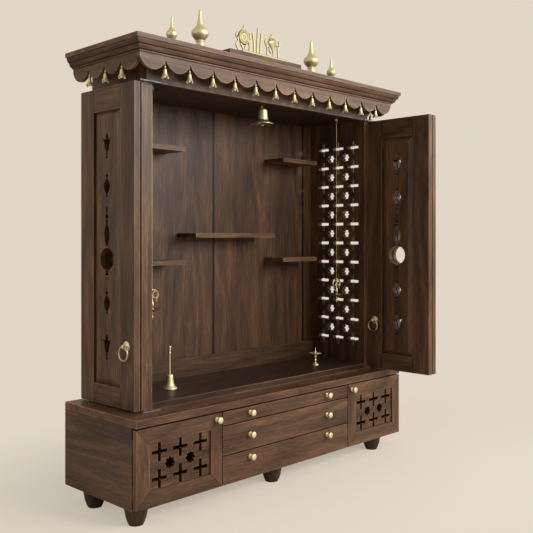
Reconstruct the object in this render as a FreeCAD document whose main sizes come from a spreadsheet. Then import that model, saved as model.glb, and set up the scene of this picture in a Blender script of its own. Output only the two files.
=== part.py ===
import FreeCAD, Part
import math
import os
import re

import Sketcher
from FreeCAD import Placement, Rotation, Vector

# Pooja mandir: a walnut shrine cabinet with a drawer base, folding doors and a scalloped crown.
# Frame: X right along the front, Y towards the back, Z up. The floor under the feet is Z = 0,
# X = 0 is the middle of the width, and Y = 0 is midway between the open door and the back.

# Driving sizes, in millimetres.
SIZES = {
    "base_width": 1500, "base_depth": 439, "base_height": 277, "slab_thick": 28,
    "board": 18, "back_thick": 12, "front_thick": 20, "front_gap": 5, "front_low": 4,
    "bay_width": 730, "bottom_front": 104, "middle_front": 106,
    "drawer_length": 360, "drawer_wall": 12, "drawer_side_gap": 6, "drawer_short": 24,
    "box_rise": 20.3, "runner_high": 6, "runner_bite": 8, "runner_short": 10, "seat_gap": 0.3,
    "foot_height": 60, "foot_radius": 39, "foot_base": 25, "foot_end": 44, "foot_front": 60,
    "foot_spacing": 660, "foot_rows": 250,
    "panel_rail": 54, "panel_sink": 6,
    "door_jaali_pitch": 91, "door_plus": 65, "door_star": 47, "plus_bar": 13,
    "hinge_inset": 2.5, "hinge_radius": 2.2, "hinge_length": 50, "hinge_leaf": 1.2, "hinge_end": 30,
    "knob_radius": 12.5, "knob_reach": 25, "knob_offset": 225, "door_knob_inset": 26,
    "knob_top": 251, "knob_middle": 169, "knob_bottom": 85,
    "wall_inset": 116, "wall_thick": 23, "shrine_setback": 97, "floor_thick": 24,
    "shrine_height": 1150, "header_height": 62, "skirting_high": 78, "skirting_thick": 10,
    "back_board": 581, "groove": 1.2,
    "wall_jaali_pitch": 90, "wall_plus": 63, "wall_star": 46, "wall_bar": 13,
    "wall_jaali_start": 67, "wall_jaali_low": 131, "jaali_rows": 11, "jaali_columns": 3,
    "shelf_thick": 18, "shelf_depth": 119, "side_shelf_length": 232, "side_shelf_gap": 93, "middle_shelf_length": 461,
    "upper_shelf": 968, "middle_shelf": 624, "lower_shelf": 515,
    "leaf_width": 334, "leaf_thick": 25, "leaf_gap": 6, "leaf_setback": 96, "pivot_inset": 90, "pack_shift": 5,
    "leaf_clear": 6, "leaf_stile": 84, "leaf_rail": 71, "leaf_sink": 9, "field_rise": 8, "field_bevel": 20,
    "field_edge": 3, "opening_width": 50, "bracket_thick": 3, "bracket_reach": 19, "bracket_long": 75,
    "bracket_shift": 2, "flange_high": 8,
    "pivot_radius": 4, "fold_length": 70, "fold_inset": 12,
    "rosette_radius": 18, "eye_reach": 15, "eye_radius": 7.5, "eye_hole": 4.4,
    "ring_radius": 24.5, "ring_wire": 3.2, "ring_height": 221, "ring_inset": 44,
    "crown_overhang": 9.5, "crown_inset": 34, "soffit_thick": 18, "valance_thick": 12,
    "cornice_deep": 16, "cornice_high": 38, "roof_thick": 16,
    "front_scallops": 13, "side_scallops": 4, "scallop_deep": 40, "valance_high": 13,
    "plinth_length": 412, "plinth_depth": 90, "plinth_high": 63, "plinth_edge": 14,
    "crown_line": 174, "emblem_long": 275, "emblem_thick": 6, "emblem_strip": 9,
    "finial_height": 198, "finial_radius": 32.7, "finial_spread": 324,
    "small_finial_height": 143, "small_finial_radius": 20, "small_finial_spread": 462,
    "bell_height": 63, "bell_mouth": 13.5, "bell_drop": 3,
    "hook_ring": 4.5, "hook_wire": 1.5, "hanging_bell_mouth": 48, "hanging_bell_height": 60,
    "hanging_bell_line": 160, "lamp_line": 150, "lamp_left_gap": 41, "lamp_right_gap": 139,
    "lamp_drop": 842, "lamp_high": 105, "lamp_radius": 30, "chain_radius": 1.0,
    "hand_bell_height": 164, "hand_bell_mouth": 29.5, "hand_bell_side": 401, "hand_bell_line": 263,
    "oil_lamp_height": 80, "oil_lamp_radius": 26.5, "oil_lamp_side": 415, "oil_lamp_line": 228,
}

# Places that follow from the driving sizes.
PLACES = {
    "front": "(leaf_width - leaf_setback - base_depth) / 2",
    "rear": "front + base_depth",
    "left": "-base_width / 2",
    "carcass_front": "front + front_thick + front_gap",
    "slab_low": "foot_height + base_height",
    "slab_top": "slab_low + slab_thick",
    "front_bottom": "foot_height + front_low",
    "bay": "bay_width / 2",
    "door_wide": "(base_width - bay_width) / 2 - hinge_inset - front_gap / 2",
    "door_high": "base_height - front_low - front_gap",
    "top_front": "base_height - front_low - bottom_front - middle_front - 3 * front_gap",
    "shrine_front": "front + shrine_setback",
    "wall_inner": "base_width / 2 - wall_inset - wall_thick",
    "lamp_left": "-wall_inner + lamp_left_gap",
    "lamp_right": "wall_inner - lamp_right_gap",
    "floor_top": "slab_top + floor_thick",
    "header_low": "slab_top + shrine_height",
    "crown_low": "header_low + header_height",
    "cornice_bottom": "crown_low + soffit_thick",
    "roof_low": "cornice_bottom + cornice_high",
    "roof_top": "roof_low + roof_thick",
    "soffit_inset": "crown_inset + valance_thick",
    "valance_face": "front - crown_overhang + crown_inset",
    "crown_y": "front + crown_line",
    "back_face": "rear - back_thick",
    "leaf_low": "slab_top + bracket_thick + leaf_clear / 2",
    "leaf_high": "header_low - leaf_low - bracket_thick - leaf_clear / 2",
    "left_pack": "front + leaf_setback - pack_shift",
    "right_pack": "front + leaf_setback - leaf_width",
    "plinth_top": "roof_top + plinth_high",
    "hook_y": "header_low - hook_ring - hook_wire",
    "pivot_drop": "hook_y - hook_ring",
    "loop_center": "pivot_drop - hook_ring + 2 * hook_wire + seat_gap",
}

NAMES = re.compile(r"\b(" + "|".join(sorted(list(SIZES) + list(PLACES), key=len, reverse=True)) + r")\b")

doc = FreeCAD.newDocument("pooja_mandir")
sheet = doc.addObject("Spreadsheet::Sheet", "Sizes")
for row, (alias, content) in enumerate({**SIZES, **{k: "=" + v for k, v in PLACES.items()}}.items(), 1):
    sheet.set("A%d" % row, alias)
    sheet.set("B%d" % row, str(content))
    sheet.setAlias("B%d" % row, alias)
doc.recompute()

kept = []


def on_sheet(text):
    """Name the sheet before every alias of an expression."""
    return NAMES.sub(lambda alias: "Sizes." + alias.group(), str(text))


def number(text):
    """The value of an expression, in millimetres."""
    value = sheet.evalExpression(on_sheet(text))
    return float(getattr(value, "Value", value))


def bind(thing, **sizes):
    """Bind the properties of an object to expressions on the sheet."""
    for name, text in sizes.items():
        thing.setExpression(name, on_sheet(text))
    return thing


def place(thing, x=0, y=0, z=0, turn=None):
    """Bind an object's position to the sheet; turn is an (axis, degrees) pair."""
    if turn:
        thing.Placement = Placement(Vector(), Rotation(turn[0], turn[1]))
    for axis, text in zip("xyz", (x, y, z)):
        thing.setExpression("Placement.Base." + axis, on_sheet(text))
    return thing


def keep(thing, name):
    """Hand a finished piece in under its own name."""
    thing.Label = name
    kept.append(thing)
    return thing


def box(name, x, y, z, length, width, height):
    """A board from its low corner and its three sizes."""
    piece = doc.addObject("Part::Box", name)
    bind(piece, Length=length, Width=width, Height=height)
    return place(piece, x, y, z)


def cut(name, base, tool):
    """The base with the tool taken away."""
    piece = doc.addObject("Part::Cut", name)
    piece.Base, piece.Tool = base, tool
    return piece


def fuse(name, pieces):
    """Pieces grown together into one solid."""
    piece = doc.addObject("Part::MultiFuse", name)
    piece.Shapes = pieces
    return piece


def group(name, pieces):
    """Like pieces that stand apart, kept as one node."""
    piece = doc.addObject("Part::Compound", name)
    piece.Links = pieces
    return piece


def corner_points(corners):
    """Plain vectors for a list of corners written as expressions."""
    return [Vector(number(corner[0]), number(corner[1]), 0) for corner in corners]


def side_between(start, end, bulge):
    """A straight side, or an arc whose bulge is twice its height over its chord."""
    if not bulge:
        return Part.LineSegment(start, end)
    middle = (start + end) / 2 + Vector(end.y - start.y, start.x - end.x, 0) * (bulge / 2)
    return Part.Arc(start, middle, end)


def tie(sketch, geometry, vertex, axis_kind, axis_line, text):
    """Tie one coordinate of a vertex to the sheet, or to the axis where it is nothing."""
    if str(text) == "0":
        sketch.addConstraint(Sketcher.Constraint("PointOnObject", geometry, vertex, axis_line))
        return
    value = number(text)
    index = sketch.addConstraint(Sketcher.Constraint(axis_kind, -1, 1, geometry, vertex, value))
    sketch.setExpression("Constraints[%d]" % index, on_sheet(text))


def tie_radius(sketch, side, start, end):
    """Tie the radius of an arc to its chord and its bulge."""
    share = (1 + start[2] ** 2) / abs(4 * start[2])
    text = "sqrt(((%s) - (%s)) ^ 2 + ((%s) - (%s)) ^ 2) * %.6f" % (end[0], start[0], end[1], start[1], share)
    index = sketch.addConstraint(Sketcher.Constraint("Radius", side, number(text)))
    sketch.setExpression("Constraints[%d]" % index, on_sheet(text))


def draw(sketch, corners):
    """A closed outline through corners (x, y) or (x, y, bulge of the side that leaves it)."""
    points = corner_points(corners)
    ends = []
    for index, corner in enumerate(corners):
        start, end = points[index], points[(index + 1) % len(points)]
        bulge = corner[2] if len(corner) > 2 else 0
        side = sketch.addGeometry(side_between(start, end, bulge), False)
        forward = sketch.getPoint(side, 1).distanceToPoint(start) < sketch.getPoint(side, 2).distanceToPoint(start)
        ends.append((side, 1 if forward else 2, 2 if forward else 1))
    for index, (side, tail, head) in enumerate(ends):
        after, after_tail, unused = ends[(index + 1) % len(ends)]
        sketch.addConstraint(Sketcher.Constraint("Coincident", side, head, after, after_tail))
    for (side, tail, head), corner in zip(ends, corners):
        tie(sketch, side, tail, "DistanceX", -2, corner[0])
        tie(sketch, side, tail, "DistanceY", -1, corner[1])
    for index, corner in enumerate(corners):
        if len(corner) > 2 and corner[2]:
            tie_radius(sketch, ends[index][0], corner, corners[(index + 1) % len(corners)])


def body(name):
    """A new body."""
    piece = doc.addObject("PartDesign::Body", name)
    piece.AllowCompound = True
    return piece


def sketch_on(owner, role, outlines, name):
    """A sketch with closed outlines on one of the body's own origin planes."""
    sketch = owner.newObject("Sketcher::SketchObject", name)
    plane = [item for item in owner.Origin.OriginFeatures if item.Role == role][0]
    sketch.AttachmentSupport = [(plane, "")]
    sketch.MapMode = "FlatFace"
    doc.recompute([sketch])
    for corners in outlines:
        draw(sketch, corners)
    return sketch


def pad(owner, sketch, length, name="pad", reverse=False, both=False):
    """The sketch made thick."""
    feature = owner.newObject("PartDesign::Pad", name)
    feature.Profile = sketch
    feature.Reversed = reverse
    feature.Midplane = both
    bind(feature, Length=length)
    return feature


def pocket(owner, sketch, length, name="pocket", reverse=False):
    """The sketch cut into the solid."""
    feature = owner.newObject("PartDesign::Pocket", name)
    feature.Profile = sketch
    feature.Reversed = reverse
    bind(feature, Length=length)
    return feature


def repeat(owner, feature, direction, pitch, copies, name):
    """Copies of a feature along an axis of its sketch, with the body's tip on them."""
    pattern = owner.newObject("PartDesign::LinearPattern", name)
    pattern.Originals = [feature]
    pattern.Direction = (feature.Profile[0], [direction])
    bind(pattern, Length="(%s) * ((%s) - 1)" % (pitch, copies), Occurrences=copies)
    owner.Tip = pattern
    return pattern


def revolve(owner, sketch, name):
    """The sketch turned once about its own vertical axis."""
    feature = owner.newObject("PartDesign::Revolution", name)
    feature.Profile = sketch
    feature.ReferenceAxis = (sketch, ["V_Axis"])
    feature.Angle = 360
    return feature


def turned(name, outline):
    """A body turned about its own Z axis from an outline of (radius, height) corners."""
    owner = body(name)
    revolve(owner, sketch_on(owner, "XZ_Plane", [outline], name + "_outline"), name + "_turning")
    return owner


def scaled(profile, width, height):
    """Corners given as shares of a width and a height, written as expressions."""
    corners = []
    for corner in profile:
        across = "0" if corner[0] == 0 else "%s * %s" % (width, corner[0])
        upward = "0" if corner[1] == 0 else "%s * %s" % (height, corner[1])
        corners.append((across, upward) + tuple(corner[2:]))
    return corners


def plus_outline(x, y, size, bar):
    """The twelve corners of a plus about (x, y)."""
    arm, half = "(%s) / 2" % size, "(%s) / 2" % bar
    steps = [(arm, "-" + half), (arm, half), (half, half), (half, arm), ("-" + half, arm),
             ("-" + half, half), ("-" + arm, half), ("-" + arm, "-" + half), ("-" + half, "-" + half),
             ("-" + half, "-" + arm), (half, "-" + arm), (half, "-" + half)]
    return [("%s + %s" % (x, a), "%s + %s" % (y, b)) for a, b in steps]


def star_outline(x, y, size):
    """An eight-point star about (x, y)."""
    corners = []
    for index in range(16):
        reach = 0.5 if index % 2 == 0 else 0.36
        turn = math.radians(22.5 * index)
        across, upward = round(reach * math.cos(turn), 4), round(reach * math.sin(turn), 4)
        corners.append(("%s + %s * %s" % (x, across, size), "%s + %s * %s" % (y, upward, size)))
    return corners


# Base cabinet
def make_base():
    """Carcass boards, dividers and the slab that closes the base."""
    inner = "base_width - 2 * board"
    deep = "base_depth - front_thick - front_gap"
    keep(box("base_bottom", "left + board", "carcass_front", "foot_height", inner,
             deep + " - back_thick", "board"), "base_bottom")
    for side, x in (("left", "left"), ("right", "-left - board")):
        name = "base_side_" + side
        keep(box(name, x, "carcass_front", "foot_height", "board", deep, "base_height"), name)
    keep(box("base_back", "left + board", "back_face", "foot_height", inner, "back_thick",
             "base_height"), "base_back")
    dividers = [box("divider_" + side, x, "carcass_front", "foot_height + board", "board",
                    deep + " - back_thick", "base_height - board")
                for side, x in (("left", "-bay - board / 2"), ("right", "bay - board / 2"))]
    keep(group("base_dividers", dividers), "base_dividers")
    keep(box("base_top", "left", "front", "slab_low", "base_width", "base_depth", "slab_thick"), "base_top")


def make_feet():
    """Six turned bun feet, three along the front and three behind."""
    outline = [("0", "0"), ("foot_base", "0", 0.1), ("foot_radius", "foot_height * 0.78", 0.4),
               ("foot_radius * 0.93", "foot_height"), ("0", "foot_height")]
    feet = []
    for row in range(2):
        owner = body("feet_%d" % row)
        sketch = sketch_on(owner, "XZ_Plane", [outline], "feet_%d_outline" % row)
        turning = revolve(owner, sketch, "feet_%d_turning" % row)
        repeat(owner, turning, "H_Axis", "foot_spacing", "3", "feet_%d_copies" % row)
        feet.append(place(owner, "left + foot_end", "front + foot_front + foot_rows * %d" % row))
    keep(group("feet", feet), "feet")


def knob(name):
    """A turned knob on its rosette, with its axis along Z."""
    outline = [("0", "0"), ("knob_radius * 0.72", "0"), ("knob_radius * 0.72", "knob_reach * 0.1"),
               ("knob_radius * 0.42", "knob_reach * 0.26", -0.25),
               ("knob_radius * 0.4", "knob_reach * 0.55", 0), ("knob_radius * 0.92", "knob_reach * 0.7", 0.35),
               ("knob_radius * 0.86", "knob_reach * 0.93", 0.1), ("knob_radius * 0.2", "knob_reach"), ("0", "knob_reach")]
    return turned(name, outline)


FORWARD = (Vector(1, 0, 0), 90)


def make_drawer(name, low, height, knob_height):
    """One drawer: its flush front, the open box behind it and two knobs."""
    front_low = "foot_height + %s" % low
    keep(box(name + "_front", "-bay + front_gap / 2", "front", front_low, "bay_width - front_gap",
             "front_thick", height), name + "_front")
    width = "bay_width - board - 2 * drawer_side_gap"
    box_low = front_low + " + box_rise"
    box_high = height + " - drawer_short"
    outer = box(name + "_outer", "-(%s) / 2" % width, "front + front_thick", box_low, width,
                "drawer_length", box_high)
    inner = box(name + "_inner", "-(%s) / 2 + drawer_wall" % width, "front + front_thick + drawer_wall",
                box_low + " + drawer_wall / 2", width + " - 2 * drawer_wall",
                "drawer_length - 2 * drawer_wall", box_high)
    keep(cut(name + "_box", outer, inner), name + "_box")
    knobs = []
    for side, x in (("left", "-knob_offset"), ("right", "knob_offset")):
        knobs.append(place(knob("%s_knob_%s" % (name, side)), x, "front",
                           "foot_height + %s" % knob_height, FORWARD))
    keep(group(name + "_knobs", knobs), name + "_knobs")


DRAWERS = (("bottom_drawer", "front_low", "bottom_front", "knob_bottom"),
           ("middle_drawer", "front_low + bottom_front + front_gap", "middle_front", "knob_middle"),
           ("top_drawer", "front_low + bottom_front + middle_front + 2 * front_gap", "top_front",
            "knob_top"))


def make_drawers():
    """Three drawers and the six runners that carry them."""
    runners = []
    for name, low, height, knob_height in DRAWERS:
        make_drawer(name, low, height, knob_height)
        for side, x in (("left", "-bay + board / 2"),
                        ("right", "bay - board / 2 - drawer_side_gap - runner_bite")):
            runners.append(box("%s_runner_%s" % (name, side), x, "carcass_front",
                               "foot_height + %s + box_rise - seat_gap - runner_high" % low,
                               "drawer_side_gap + runner_bite", "drawer_length - runner_short",
                               "runner_high"))
    keep(group("drawer_runners", runners), "drawer_runners")


def make_base_door(side, sign):
    """A framed door with a sunk panel pierced by pluses and stars; local x runs from its hinge edge."""
    name = "base_door_" + side
    door = body(name)
    wide, high = "door_wide", "door_high"
    slab = sketch_on(door, "XZ_Plane", [[("0", "0"), (wide, "0"), (wide, high), ("0", high)]], name + "_slab")
    pad(door, slab, "front_thick", name + "_pad", reverse=True)
    rail = "panel_rail"
    panel = [(rail, rail), (wide + " - " + rail, rail), (wide + " - " + rail, high + " - " + rail),
             (rail, high + " - " + rail)]
    sunk = sketch_on(door, "XZ_Plane", [panel], name + "_panel")
    pocket(door, sunk, "panel_sink", name + "_sink")
    pluses = [plus_outline("%s / 2 + door_jaali_pitch * %d" % (wide, column),
                           "%s / 2 + door_jaali_pitch * %s" % (high, row), "door_plus", "plus_bar")
              for column in (-1, 0, 1) for row in (-0.5, 0.5)]
    stars = [star_outline("%s / 2 + door_jaali_pitch * %s" % (wide, column), high + " / 2", "door_star")
             for column in (-0.5, 0.5)]
    pierced = sketch_on(door, "XZ_Plane", pluses + stars, name + "_jaali")
    pocket(door, pierced, "front_thick", name + "_piercing")
    start = "left + hinge_inset" if sign < 0 else "-left - hinge_inset - door_wide"
    place(door, start, "front", "front_bottom")
    keep(door, name)
    knob_x = "%s(base_width / 2 - hinge_inset - door_wide + door_knob_inset)" % ("-" if sign < 0 else "")
    keep(place(knob(name + "_turned_knob"), knob_x, "front", "foot_height + knob_top", FORWARD), name + "_knob")


def make_door_hinges():
    """Two slim hinges a door: a barrel in the gap, with its leaf on the front edge of the side."""
    hinges = []
    for side, sign in (("left", ""), ("right", "-")):
        for end, level in (("low", "hinge_end"), ("high", "door_high - hinge_end - hinge_length")):
            name = "hinge_%s_%s" % (side, end)
            barrel = doc.addObject("Part::Cylinder", name + "_barrel")
            bind(barrel, Radius="hinge_radius", Height="hinge_length")
            x = "%s(left + hinge_inset)" % sign
            place(barrel, x, "front + front_thick + front_gap / 2", "front_bottom + " + level)
            start = "left + hinge_inset" if sign == "" else "-left - hinge_inset - board * 0.7"
            leaf = box(name + "_leaf", start, "carcass_front - hinge_leaf", "front_bottom + " + level,
                       "board * 0.7", "hinge_leaf", "hinge_length")
            hinges.append(fuse(name, [barrel, leaf]))
    keep(group("base_door_hinges", hinges), "base_door_hinges")


# Shrine
def make_side_wall(side, x):
    """A side wall pierced by rows of pluses and stars, with a rebate for the header at its top front."""
    name = "side_wall_" + side
    wall = body(name)
    deep, high = "base_depth - shrine_setback", "crown_low - slab_top"
    step = [("0", "0"), (deep, "0"), (deep, high), ("board", high), ("board", "shrine_height"),
            ("0", "shrine_height")]
    slab = sketch_on(wall, "YZ_Plane", [step], name + "_slab")
    pad(wall, slab, "wall_thick", name + "_pad")
    columns = range(int(number("jaali_columns")))
    pluses = [plus_outline("wall_jaali_start + wall_jaali_pitch * %d" % column, "wall_jaali_low",
                           "wall_plus", "wall_bar") for column in columns]
    row = sketch_on(wall, "YZ_Plane", pluses, name + "_pluses")
    first = pocket(wall, row, "wall_thick", name + "_plus_cut", reverse=True)
    repeat(wall, first, "V_Axis", "wall_jaali_pitch", "jaali_rows", name + "_plus_rows")
    stars = [star_outline("wall_jaali_start + wall_jaali_pitch * %s" % (column + 0.5),
                          "wall_jaali_low + wall_jaali_pitch / 2", "wall_star") for column in columns[:-1]]
    between = sketch_on(wall, "YZ_Plane", stars, name + "_stars")
    second = pocket(wall, between, "wall_thick", name + "_star_cut", reverse=True)
    repeat(wall, second, "V_Axis", "wall_jaali_pitch", "jaali_rows - 1", name + "_star_rows")
    place(wall, x, "shrine_front", "slab_top")
    keep(wall, name)


def make_shrine():
    """Floor, back boards, skirting, header and ceiling of the niche."""
    span = "2 * wall_inner"
    keep(box("shrine_floor", "-wall_inner", "shrine_front", "slab_top", span,
             "back_face - shrine_front", "floor_thick"), "shrine_floor")
    make_side_wall("left", "left + wall_inset")
    make_side_wall("right", "wall_inner")
    boards = []
    for index in range(3):
        start = "-wall_inner + back_board * %d" % index
        width = "back_board - groove" if index < 2 else "2 * wall_inner - 2 * back_board"
        boards.append(box("back_board_%d" % index, start, "back_face", "slab_top", width, "back_thick",
                          "crown_low - slab_top"))
    keep(group("back_boards", boards), "back_boards")
    keep(box("back_skirting", "-wall_inner", "back_face - skirting_thick", "floor_top", span,
             "skirting_thick", "skirting_high"), "back_skirting")
    keep(box("header_rail", "left + wall_inset", "shrine_front", "header_low",
             "base_width - 2 * wall_inset", "board", "header_height"), "header_rail")
    keep(box("ceiling_board", "-wall_inner", "shrine_front + board", "header_low", span,
             "back_face - shrine_front - board", "board"), "ceiling_board")


def make_shelves():
    """Two shelves at each side and one in the middle of the back."""
    y = "back_face - shelf_depth"
    for side, x in (("left", "-wall_inner + side_shelf_gap"),
                    ("right", "wall_inner - side_shelf_gap - side_shelf_length")):
        pair = [box("%s_shelf_%s" % (level, side), x, y, "slab_top + %s_shelf - shelf_thick" % level,
                    "side_shelf_length", "shelf_depth", "shelf_thick") for level in ("upper", "lower")]
        keep(group("shelves_" + side, pair), "shelves_" + side)
    keep(box("middle_shelf_board", "-middle_shelf_length / 2", y, "slab_top + middle_shelf - shelf_thick",
             "middle_shelf_length", "shelf_depth", "shelf_thick"), "middle_shelf_board")


# Folding doors
TULIP = [(0.18, 0), (0.06, 0.1), (0.09, 0.15, 0.4), (0.1, 0.24), (0.26, 0.36), (0.28, 0.4),
         (0.4, 0.66, -0.12), (0.6, 0.82), (0.22, 0.74), (0.2, 0.86, 0.15), (0, 1)]
PEAR = [(0.17, 0), (0.05, 0.09, 0.2), (0.44, 0.45, 0.15), (0.07, 0.75), (0.19, 0.83, 0.3), (0.07, 0.9), (0, 1)]
SPINDLE = [(0.08, 0, 0.15), (0.35, 0.3, 0.12), (0.09, 0.57), (0.18, 0.62), (0.09, 0.66), (0.24, 0.73),
           (0.08, 0.79), (0.11, 0.9, 0.2), (0, 1)]
GLOBE = [(0.16, 0), (0.08, 0.1), (0.1, 0.18, 0.96), (0, 1)]

# Each opening: its half outline, the height of its foot on the leaf, its height and its width.
LEAF_OPENINGS = ((TULIP, 162, 92, 1.0), (PEAR, 326, 90, 0.95), (GLOBE, 464, 98, 1.62),
                 (SPINDLE, 568, 146, 1.0), (PEAR, 745, 90, 0.95), (TULIP, 883, 92, 1.0))


def opening_face(half, foot, height, width):
    """A symmetric face from the right half of an outline, standing in the XZ plane."""
    points = [Vector(x * width, 0, foot + z * height) for x, z, *rest in half]
    bulges = [corner[2] if len(corner) > 2 else 0 for corner in half]
    edges = []
    for start, end, bulge in zip(points, points[1:], bulges):
        edges.append(standing_side(start, end, bulge))
    mirrored = [edge.mirror(Vector(), Vector(1, 0, 0)) for edge in edges]
    start = points[0]
    closing = Part.LineSegment(Vector(-start.x, 0, start.z), start).toShape()
    wire = Part.Wire(Part.__sortEdges__(edges + mirrored + [closing]))
    return Part.Face(wire)


def standing_side(start, end, bulge):
    """A side in the XZ plane, straight or bulging away from the middle line."""
    if not bulge:
        return Part.LineSegment(start, end).toShape()
    middle = (start + end) / 2 + Vector(end.z - start.z, 0, start.x - end.x) * (bulge / 2)
    return Part.Arc(start, middle, end).toShape()


def leaf_openings(name):
    """The six pierced ornaments of a leaf, as one tool that passes through its thickness."""
    solids = []
    for half, foot, height, width in LEAF_OPENINGS:
        face = opening_face(half, foot, height, width * number("opening_width"))
        solids.append(face.extrude(Vector(0, number("leaf_thick") + 2, 0)))
    tool = doc.addObject("Part::Feature", name)
    tool.Shape = Part.makeCompound(solids)
    tool.Placement = Placement(Vector(number("leaf_width") / 2, -1, 0), Rotation())
    return tool


def raised_field(name):
    """The bevelled field of a panel: a low truncated pyramid that rises from the sunk back face."""
    field = doc.addObject("Part::Wedge", name)
    inset, bevel = "leaf_stile + field_edge", "leaf_stile + field_edge + field_bevel"
    low = "leaf_rail + field_edge"
    bind(field, Xmin=inset, Zmin=low, Xmax="leaf_width - (%s)" % inset, Zmax="leaf_high - (%s)" % inset,
         X2min=bevel, Z2min="(%s) + field_bevel" % low, X2max="leaf_width - (%s)" % bevel, Z2max="leaf_high - (%s)" % bevel)
    bind(field, Ymin="leaf_thick - leaf_sink", Ymax="leaf_thick - leaf_sink + field_rise")
    return field


def make_leaf(name, x, y, turn):
    """A door leaf: stiles and rails about a panel raised on both faces and pierced through."""
    blank = box(name + "_blank", 0, 0, 0, "leaf_width", "leaf_thick", "leaf_high")
    inner = ("leaf_width - 2 * leaf_stile", "leaf_sink", "leaf_high - leaf_stile - leaf_rail")
    sinks = [box(name + "_sink_front", "leaf_stile", 0, "leaf_rail", *inner),
             box(name + "_sink_back", "leaf_stile", "leaf_thick - leaf_sink", "leaf_rail", *inner)]
    frame = cut(name + "_frame", blank, fuse(name + "_sinks", sinks))
    back_field, front_field = raised_field(name + "_field_back"), raised_field(name + "_field_front")
    place(front_field, "leaf_width", "leaf_thick", 0, (Vector(0, 0, 1), 180))
    panel = fuse(name + "_panel", [frame, back_field, front_field])
    leaf = cut(name, panel, leaf_openings(name + "_openings"))
    place(leaf, x, y, "leaf_low", (Vector(0, 0, 1), turn))
    keep(leaf, name)


def make_folding_doors():
    """Two folded pairs: the left swung right round to the outside, the right half open."""
    pack = "left + pivot_inset"
    make_leaf("left_leaf_inner", pack + " + leaf_thick", "left_pack", 90)
    make_leaf("left_leaf_outer", pack + " - leaf_gap", "left_pack", 90)
    mirror = "-left - pivot_inset"
    make_leaf("right_leaf_outer", mirror + " + leaf_thick", "right_pack", 90)
    make_leaf("right_leaf_inner", mirror + " - leaf_gap", "right_pack", 90)
    make_fold_hinges()
    make_pivots()


def make_fold_hinges():
    """Three barrels a side between the folded leaves, at the edge away from the pivots."""
    hinges = []
    for side, x, y in (("left", "left + pivot_inset - leaf_gap / 2", "left_pack + leaf_width - fold_inset"),
                       ("right", "-left - pivot_inset - leaf_gap / 2", "right_pack + fold_inset")):
        for index, share in enumerate((0.1, 0.47, 0.84)):
            barrel = doc.addObject("Part::Cylinder", "fold_%s_%d" % (side, index))
            bind(barrel, Radius="leaf_gap / 2", Height="fold_length")
            hinges.append(place(barrel, x, y, "leaf_low + leaf_high * %s" % share))
    keep(group("fold_hinges", hinges), "fold_hinges")


def make_pivots():
    """Steel pivot plates on the slab and angles on the header, each with its pivot."""
    plates = []
    for side, x, pin_x in (("left", "left + pivot_inset - bracket_shift", "left + pivot_inset + leaf_thick / 2"),
                           ("right", "-left - pivot_inset + leaf_thick + bracket_shift - bracket_long",
                            "-left - pivot_inset + leaf_thick / 2")):
        start = "shrine_front - bracket_reach"
        pin_y = "shrine_front - bracket_reach / 2"
        low = box("plate_low_" + side, x, start, "slab_top", "bracket_long", "bracket_reach", "bracket_thick")
        high = box("plate_high_" + side, x, start, "header_low - bracket_thick", "bracket_long",
                   "bracket_reach", "bracket_thick")
        flange = box("flange_" + side, x, "shrine_front - bracket_thick", "header_low - bracket_thick",
                     "bracket_long", "bracket_thick", "flange_high")
        pins = []
        for end, level in (("low", "slab_top + bracket_thick"),
                           ("high", "header_low - bracket_thick - leaf_clear / 2")):
            pin = doc.addObject("Part::Cylinder", "pivot_%s_%s" % (side, end))
            bind(pin, Radius="pivot_radius", Height="leaf_clear / 2")
            pins.append(place(pin, pin_x, pin_y, level))
        plates.append(fuse("lower_pivot_" + side, [low, pins[0]]))
        plates.append(fuse("upper_pivot_" + side, [high, flange, pins[1]]))
    keep(group("pivot_plates", plates), "pivot_plates")


def make_ring_pulls():
    """A rosette with a pierced eye on each outer leaf, and the ring that hangs in it."""
    rosettes = []
    for side, face_x, eye_y in (("left", "left + pivot_inset - leaf_gap - leaf_thick",
                                 "left_pack + ring_inset"),
                                ("right", "-left - pivot_inset - leaf_gap - leaf_thick",
                                 "front + leaf_setback - ring_inset")):
        level = "leaf_low + ring_height"
        outline = [("0", "0"), ("rosette_radius", "0"), ("rosette_radius", "2"),
                   ("rosette_radius * 0.45", "5", -0.2), ("eye_radius * 0.6", "eye_reach - eye_radius * 0.8"),
                   ("eye_radius * 0.98", "eye_reach + eye_radius * 0.2", 0.2),
                   ("eye_radius * 0.2", "eye_reach + eye_radius"), ("0", "eye_reach + eye_radius")]
        plate = turned("rosette_" + side, outline)
        place(plate, face_x, eye_y, level, (Vector(0, 1, 0), -90))
        bore = doc.addObject("Part::Cylinder", "eye_bore_" + side)
        bind(bore, Radius="eye_hole", Height="4 * eye_radius")
        place(bore, face_x + " - eye_reach", eye_y + " + 2 * eye_radius", level, (Vector(1, 0, 0), 90))
        rosettes.append(cut("pierced_rosette_" + side, plate, bore))
        ring = doc.addObject("Part::Torus", "ring_pull_" + side)
        bind(ring, Radius1="ring_radius", Radius2="ring_wire")
        place(ring, face_x + " - eye_reach", eye_y, level + " - ring_radius", (Vector(0, 1, 0), 90))
        keep(ring, "ring_pull_" + side)
    keep(group("ring_rosettes", rosettes), "ring_rosettes")


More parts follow.
